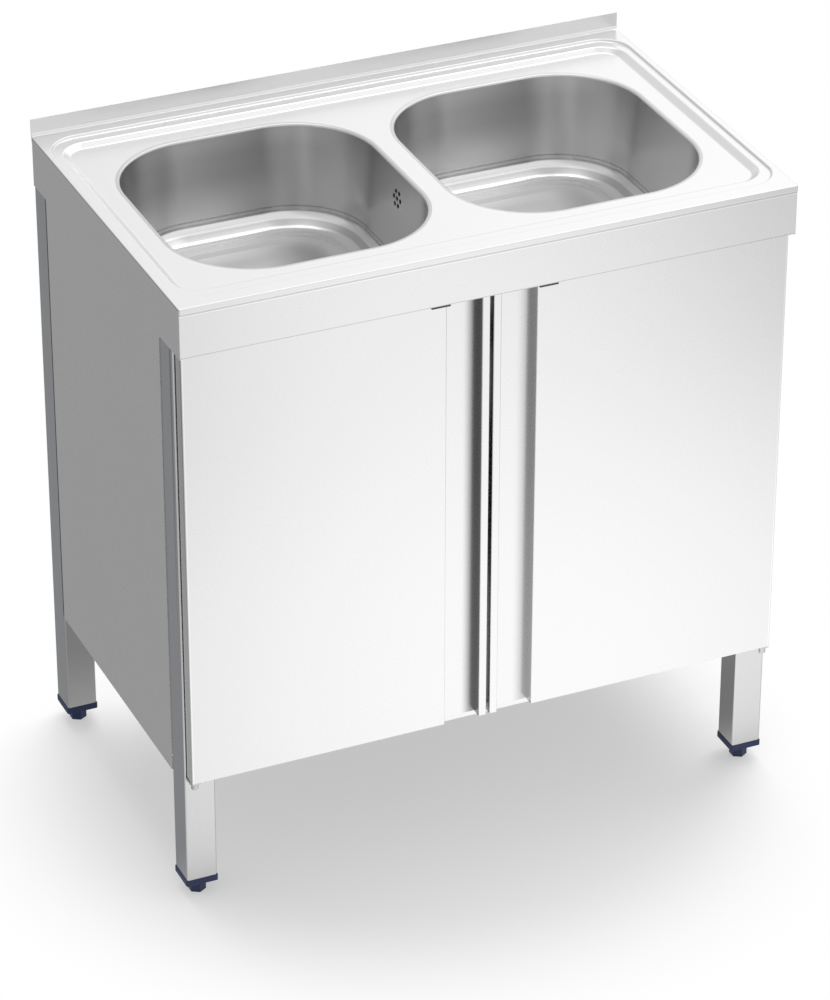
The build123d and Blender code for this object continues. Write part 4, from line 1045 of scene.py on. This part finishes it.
def add_folds(form, side):
    """The narrow folds of a side panel that close the slits beside the two legs."""
    for fold_x, fold_y in (FRONT_FOLD, REAR_LIP):
        corners = bmesh.ops.create_cube(form, size=1.0)["verts"]
        for vertex in corners:
            x, y, z = (int(part > 0) for part in vertex.co)
            vertex.co = (side * fold_x[x], fold_y[y], FOLD_Z[z])
        if side < 0:
            faces = {face for vertex in corners for face in vertex.link_faces}
            bmesh.ops.reverse_faces(form, faces=list(faces))


def by_start(table, node, otherwise):
    """The first entry of a table whose key the node's name starts with."""
    return next((value for start, value in table.items() if node.startswith(start)), otherwise)


print("roundings:", len(ROUNDING), "own finishes:", len(OWN_FINISH))

# %% Dress a copy of each remaining solid
def dress(node):
    """A rounded copy of one solid, in its own finish."""
    form = bmesh.new()
    form.from_mesh(frame["nodes"][node].data)
    bmesh.ops.remove_doubles(form, verts=form.verts, dist=MERGE)
    bmesh.ops.dissolve_limit(form, angle_limit=FLAT_ANGLE, verts=form.verts, edges=form.edges)
    if node.startswith("side_panel"):
        add_folds(form, SIDES[node.rsplit("_", 1)[-1]])
    guard_ends(form)
    finish = by_start(OWN_FINISH, node, FINISHES[slot_of_node[node]])
    piece = new_piece(f"{node}_dressed", form, finish)
    round_edges(piece, by_start(ROUNDING, node, EDGE_ROUND))
    return settle(piece, node)


made = {name for piece in bpy.data.objects for name in piece.get("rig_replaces", [])}
for node in sorted(set(body_of_node) - made):
    dress(node)
print("dressed", len(body_of_node) - len(made), "solids")

# %% [markdown]
# ## Floor
# The floor is a wide white sheet that keeps the unit's soft shadow near it and fades to plain white
# further off. Satin steel shows little but what stands round it, so the reflections decide its
# tone. To reflected rays the floor glows, by its own place only: brightly in front of the doors,
# dimly to the sides, behind and beneath the unit, a painted light and a painted shadow.

# %% What the camera and the steel see of the floor
MATT, WHITE, SHADOW_KEPT = (0.74, 0.74, 0.74, 1.0), (1.0, 1.0, 1.0, 1.0), 0.38
floor_finish = bpy.data.materials.new("studio floor")
floor_finish.use_nodes = True
tree = floor_finish.node_tree
tree.nodes.clear()
place = Wire(tree).node("ShaderNodeTexCoord", out="Object")
x_place, y_place, _ = place.parts()
from_unit = place.vector("LENGTH", out=1)
seen, mirrored, through = (place.node("ShaderNodeLightPath", out=f"Is {kind} Ray")
                           for kind in ("Camera", "Glossy", "Transmission"))

# painted light and shadow on the floor, seen only by reflected rays
ahead = 0.0 - y_place
far_off = ahead.ramp(0.8, 1.5)
off_line = x_place - 0.28 * ahead - 0.08
fading = off_line * off_line * blend(far_off, 0.6, 1.0)
front = place.math("MAXIMUM", 1.13 - 0.10 * far_off - fading, 0.6)
close_by = blend(ahead.ramp(0.25, 0.5), 0.9, 1.0)
beneath = blend(y_place.ramp(-0.02, 0.20), 0.22, 0.40)
beside = blend(x_place.ramp(-0.44, -0.36), 0.34, beneath)
behind = blend(y_place.ramp(0.25, 0.9), beside, 0.34)
painted_reflected_glow = blend(ahead.ramp(0.1, 0.34), behind, close_by * front)

matt = place.node("ShaderNodeBsdfDiffuse", {}, MATT)
white = place.node("ShaderNodeEmission", {}, WHITE, 1.0)
dim = place.node("ShaderNodeEmission", {}, WHITE, painted_reflected_glow)
to_white = seen * blend(from_unit.ramp(0.38, 0.68), SHADOW_KEPT, 1.0)
near_shadow = place.node("ShaderNodeMixShader", {}, to_white, matt, white)
in_steel = place.math("MAXIMUM", mirrored, through)
result = place.node("ShaderNodeMixShader", {}, in_steel, near_shadow, dim)
result.node("ShaderNodeOutputMaterial", {}, Surface=result)
floor_finish.cycles.emission_sampling = "NONE"
print("floor finish:", floor_finish.name)

# %% Lay the floor
FLOOR_HALF, FLOOR_Z = 9, -0.2 * MM
form = bmesh.new()
form.faces.new([form.verts.new((x * FLOOR_HALF, y * FLOOR_HALF, FLOOR_Z))
                for x, y in ((-1, -1), (1, -1), (1, 1), (-1, 1))])
floor = new_piece("studio_floor", form, floor_finish)
print("floor laid")

# %% [markdown]
# ## Light
# One broad, soft sun stands behind and above, as a studio's ceiling bank does, and the world fills
# in. The world is brighter behind the unit than in front of it and on its left, so that the top
# reads bright and the far walls of the bowls read grey. Overhead, the bank has two narrow, bright
# ends: only the slopes in the bowls mirror them, as the two bands on each floor. The steel doesn't
# mirror the sun itself, which would burn a spot into it.

# %% The world and the sun
BANK_ENDS = [Vector(way).normalized() for way in ((0.37, 0.22, 0.90), (0.03, 0.31, 0.94))]
BANK_STRENGTH, SUN_STRENGTH, SUN_SPREAD, SUN_WAY = 1.5, 1.85, 50, Vector((0.25, 0.42, 0.87))
world = bpy.data.worlds.new("studio")
bpy.context.scene.world = world
world.use_nodes = True
tree = world.node_tree
direction = Wire(tree).node("ShaderNodeTexCoord", out="Generated")
x_way, y_way, z_way = direction.parts()
in_front = blend(z_way.ramp(0.0, 0.5), 1.0, 0.86)
beyond = blend(z_way.ramp(0.1, 0.42), 0.72, blend(x_way.ramp(0.22, 0.44), 0.85, 1.19))
round_about = blend(y_way.ramp(-0.3, 0.3), in_front, beyond)
overhead = blend(z_way.ramp(0.72, 0.95), round_about, 0.80)
sideways = blend((0.0 - x_way).ramp(0.1, 0.5), overhead, 0.78 * overhead)
bank_ends = [direction.vector("DOT_PRODUCT", way, out=1).ramp(0.96, 0.99) for way in BANK_ENDS]
with_bank = sideways + BANK_STRENGTH * direction.math("MAXIMUM", *bank_ends)
strength = blend(direction.node("ShaderNodeLightPath", out="Is Camera Ray"), with_bank, 1.0)
tree.links.new(strength.socket, tree.nodes["Background"].inputs["Strength"])
tree.nodes["Background"].inputs["Color"].default_value = WHITE

sun_data = bpy.data.lights.new("ceiling bank", "SUN")
sun_data.energy, sun_data.angle = SUN_STRENGTH, math.radians(SUN_SPREAD)
sun = bpy.data.objects.new("ceiling bank", sun_data)
bpy.context.scene.collection.objects.link(sun)
sun.visible_glossy = False
sun.rotation_euler = SUN_WAY.to_track_quat("Z", "Y").to_euler()
print("world:", world.name, "sun:", sun.name)

# %% [markdown]
# ## Camera
# The unit is seen from the left and from above, through a long lens. Its straight edges and corners
# in the photo give the camera's place, its turn and its focal length.

# %% Place the camera
CAMERA_PLACE, CAMERA_TURN = (-1.99858, -4.52942, 3.24673), (59.781, -0.074, -23.834)
camera_data = bpy.data.cameras.new("photo camera")
camera_data.lens, camera_data.sensor_width, camera_data.sensor_fit = 162.46, 36.0, "AUTO"
camera = bpy.data.objects.new("photo camera", camera_data)
bpy.context.scene.collection.objects.link(camera)
camera.location = CAMERA_PLACE
camera.rotation_euler = [math.radians(angle) for angle in CAMERA_TURN]
bpy.context.scene.camera = camera
bpy.context.scene.view_settings.view_transform = "Standard"
print("camera at", CAMERA_PLACE)
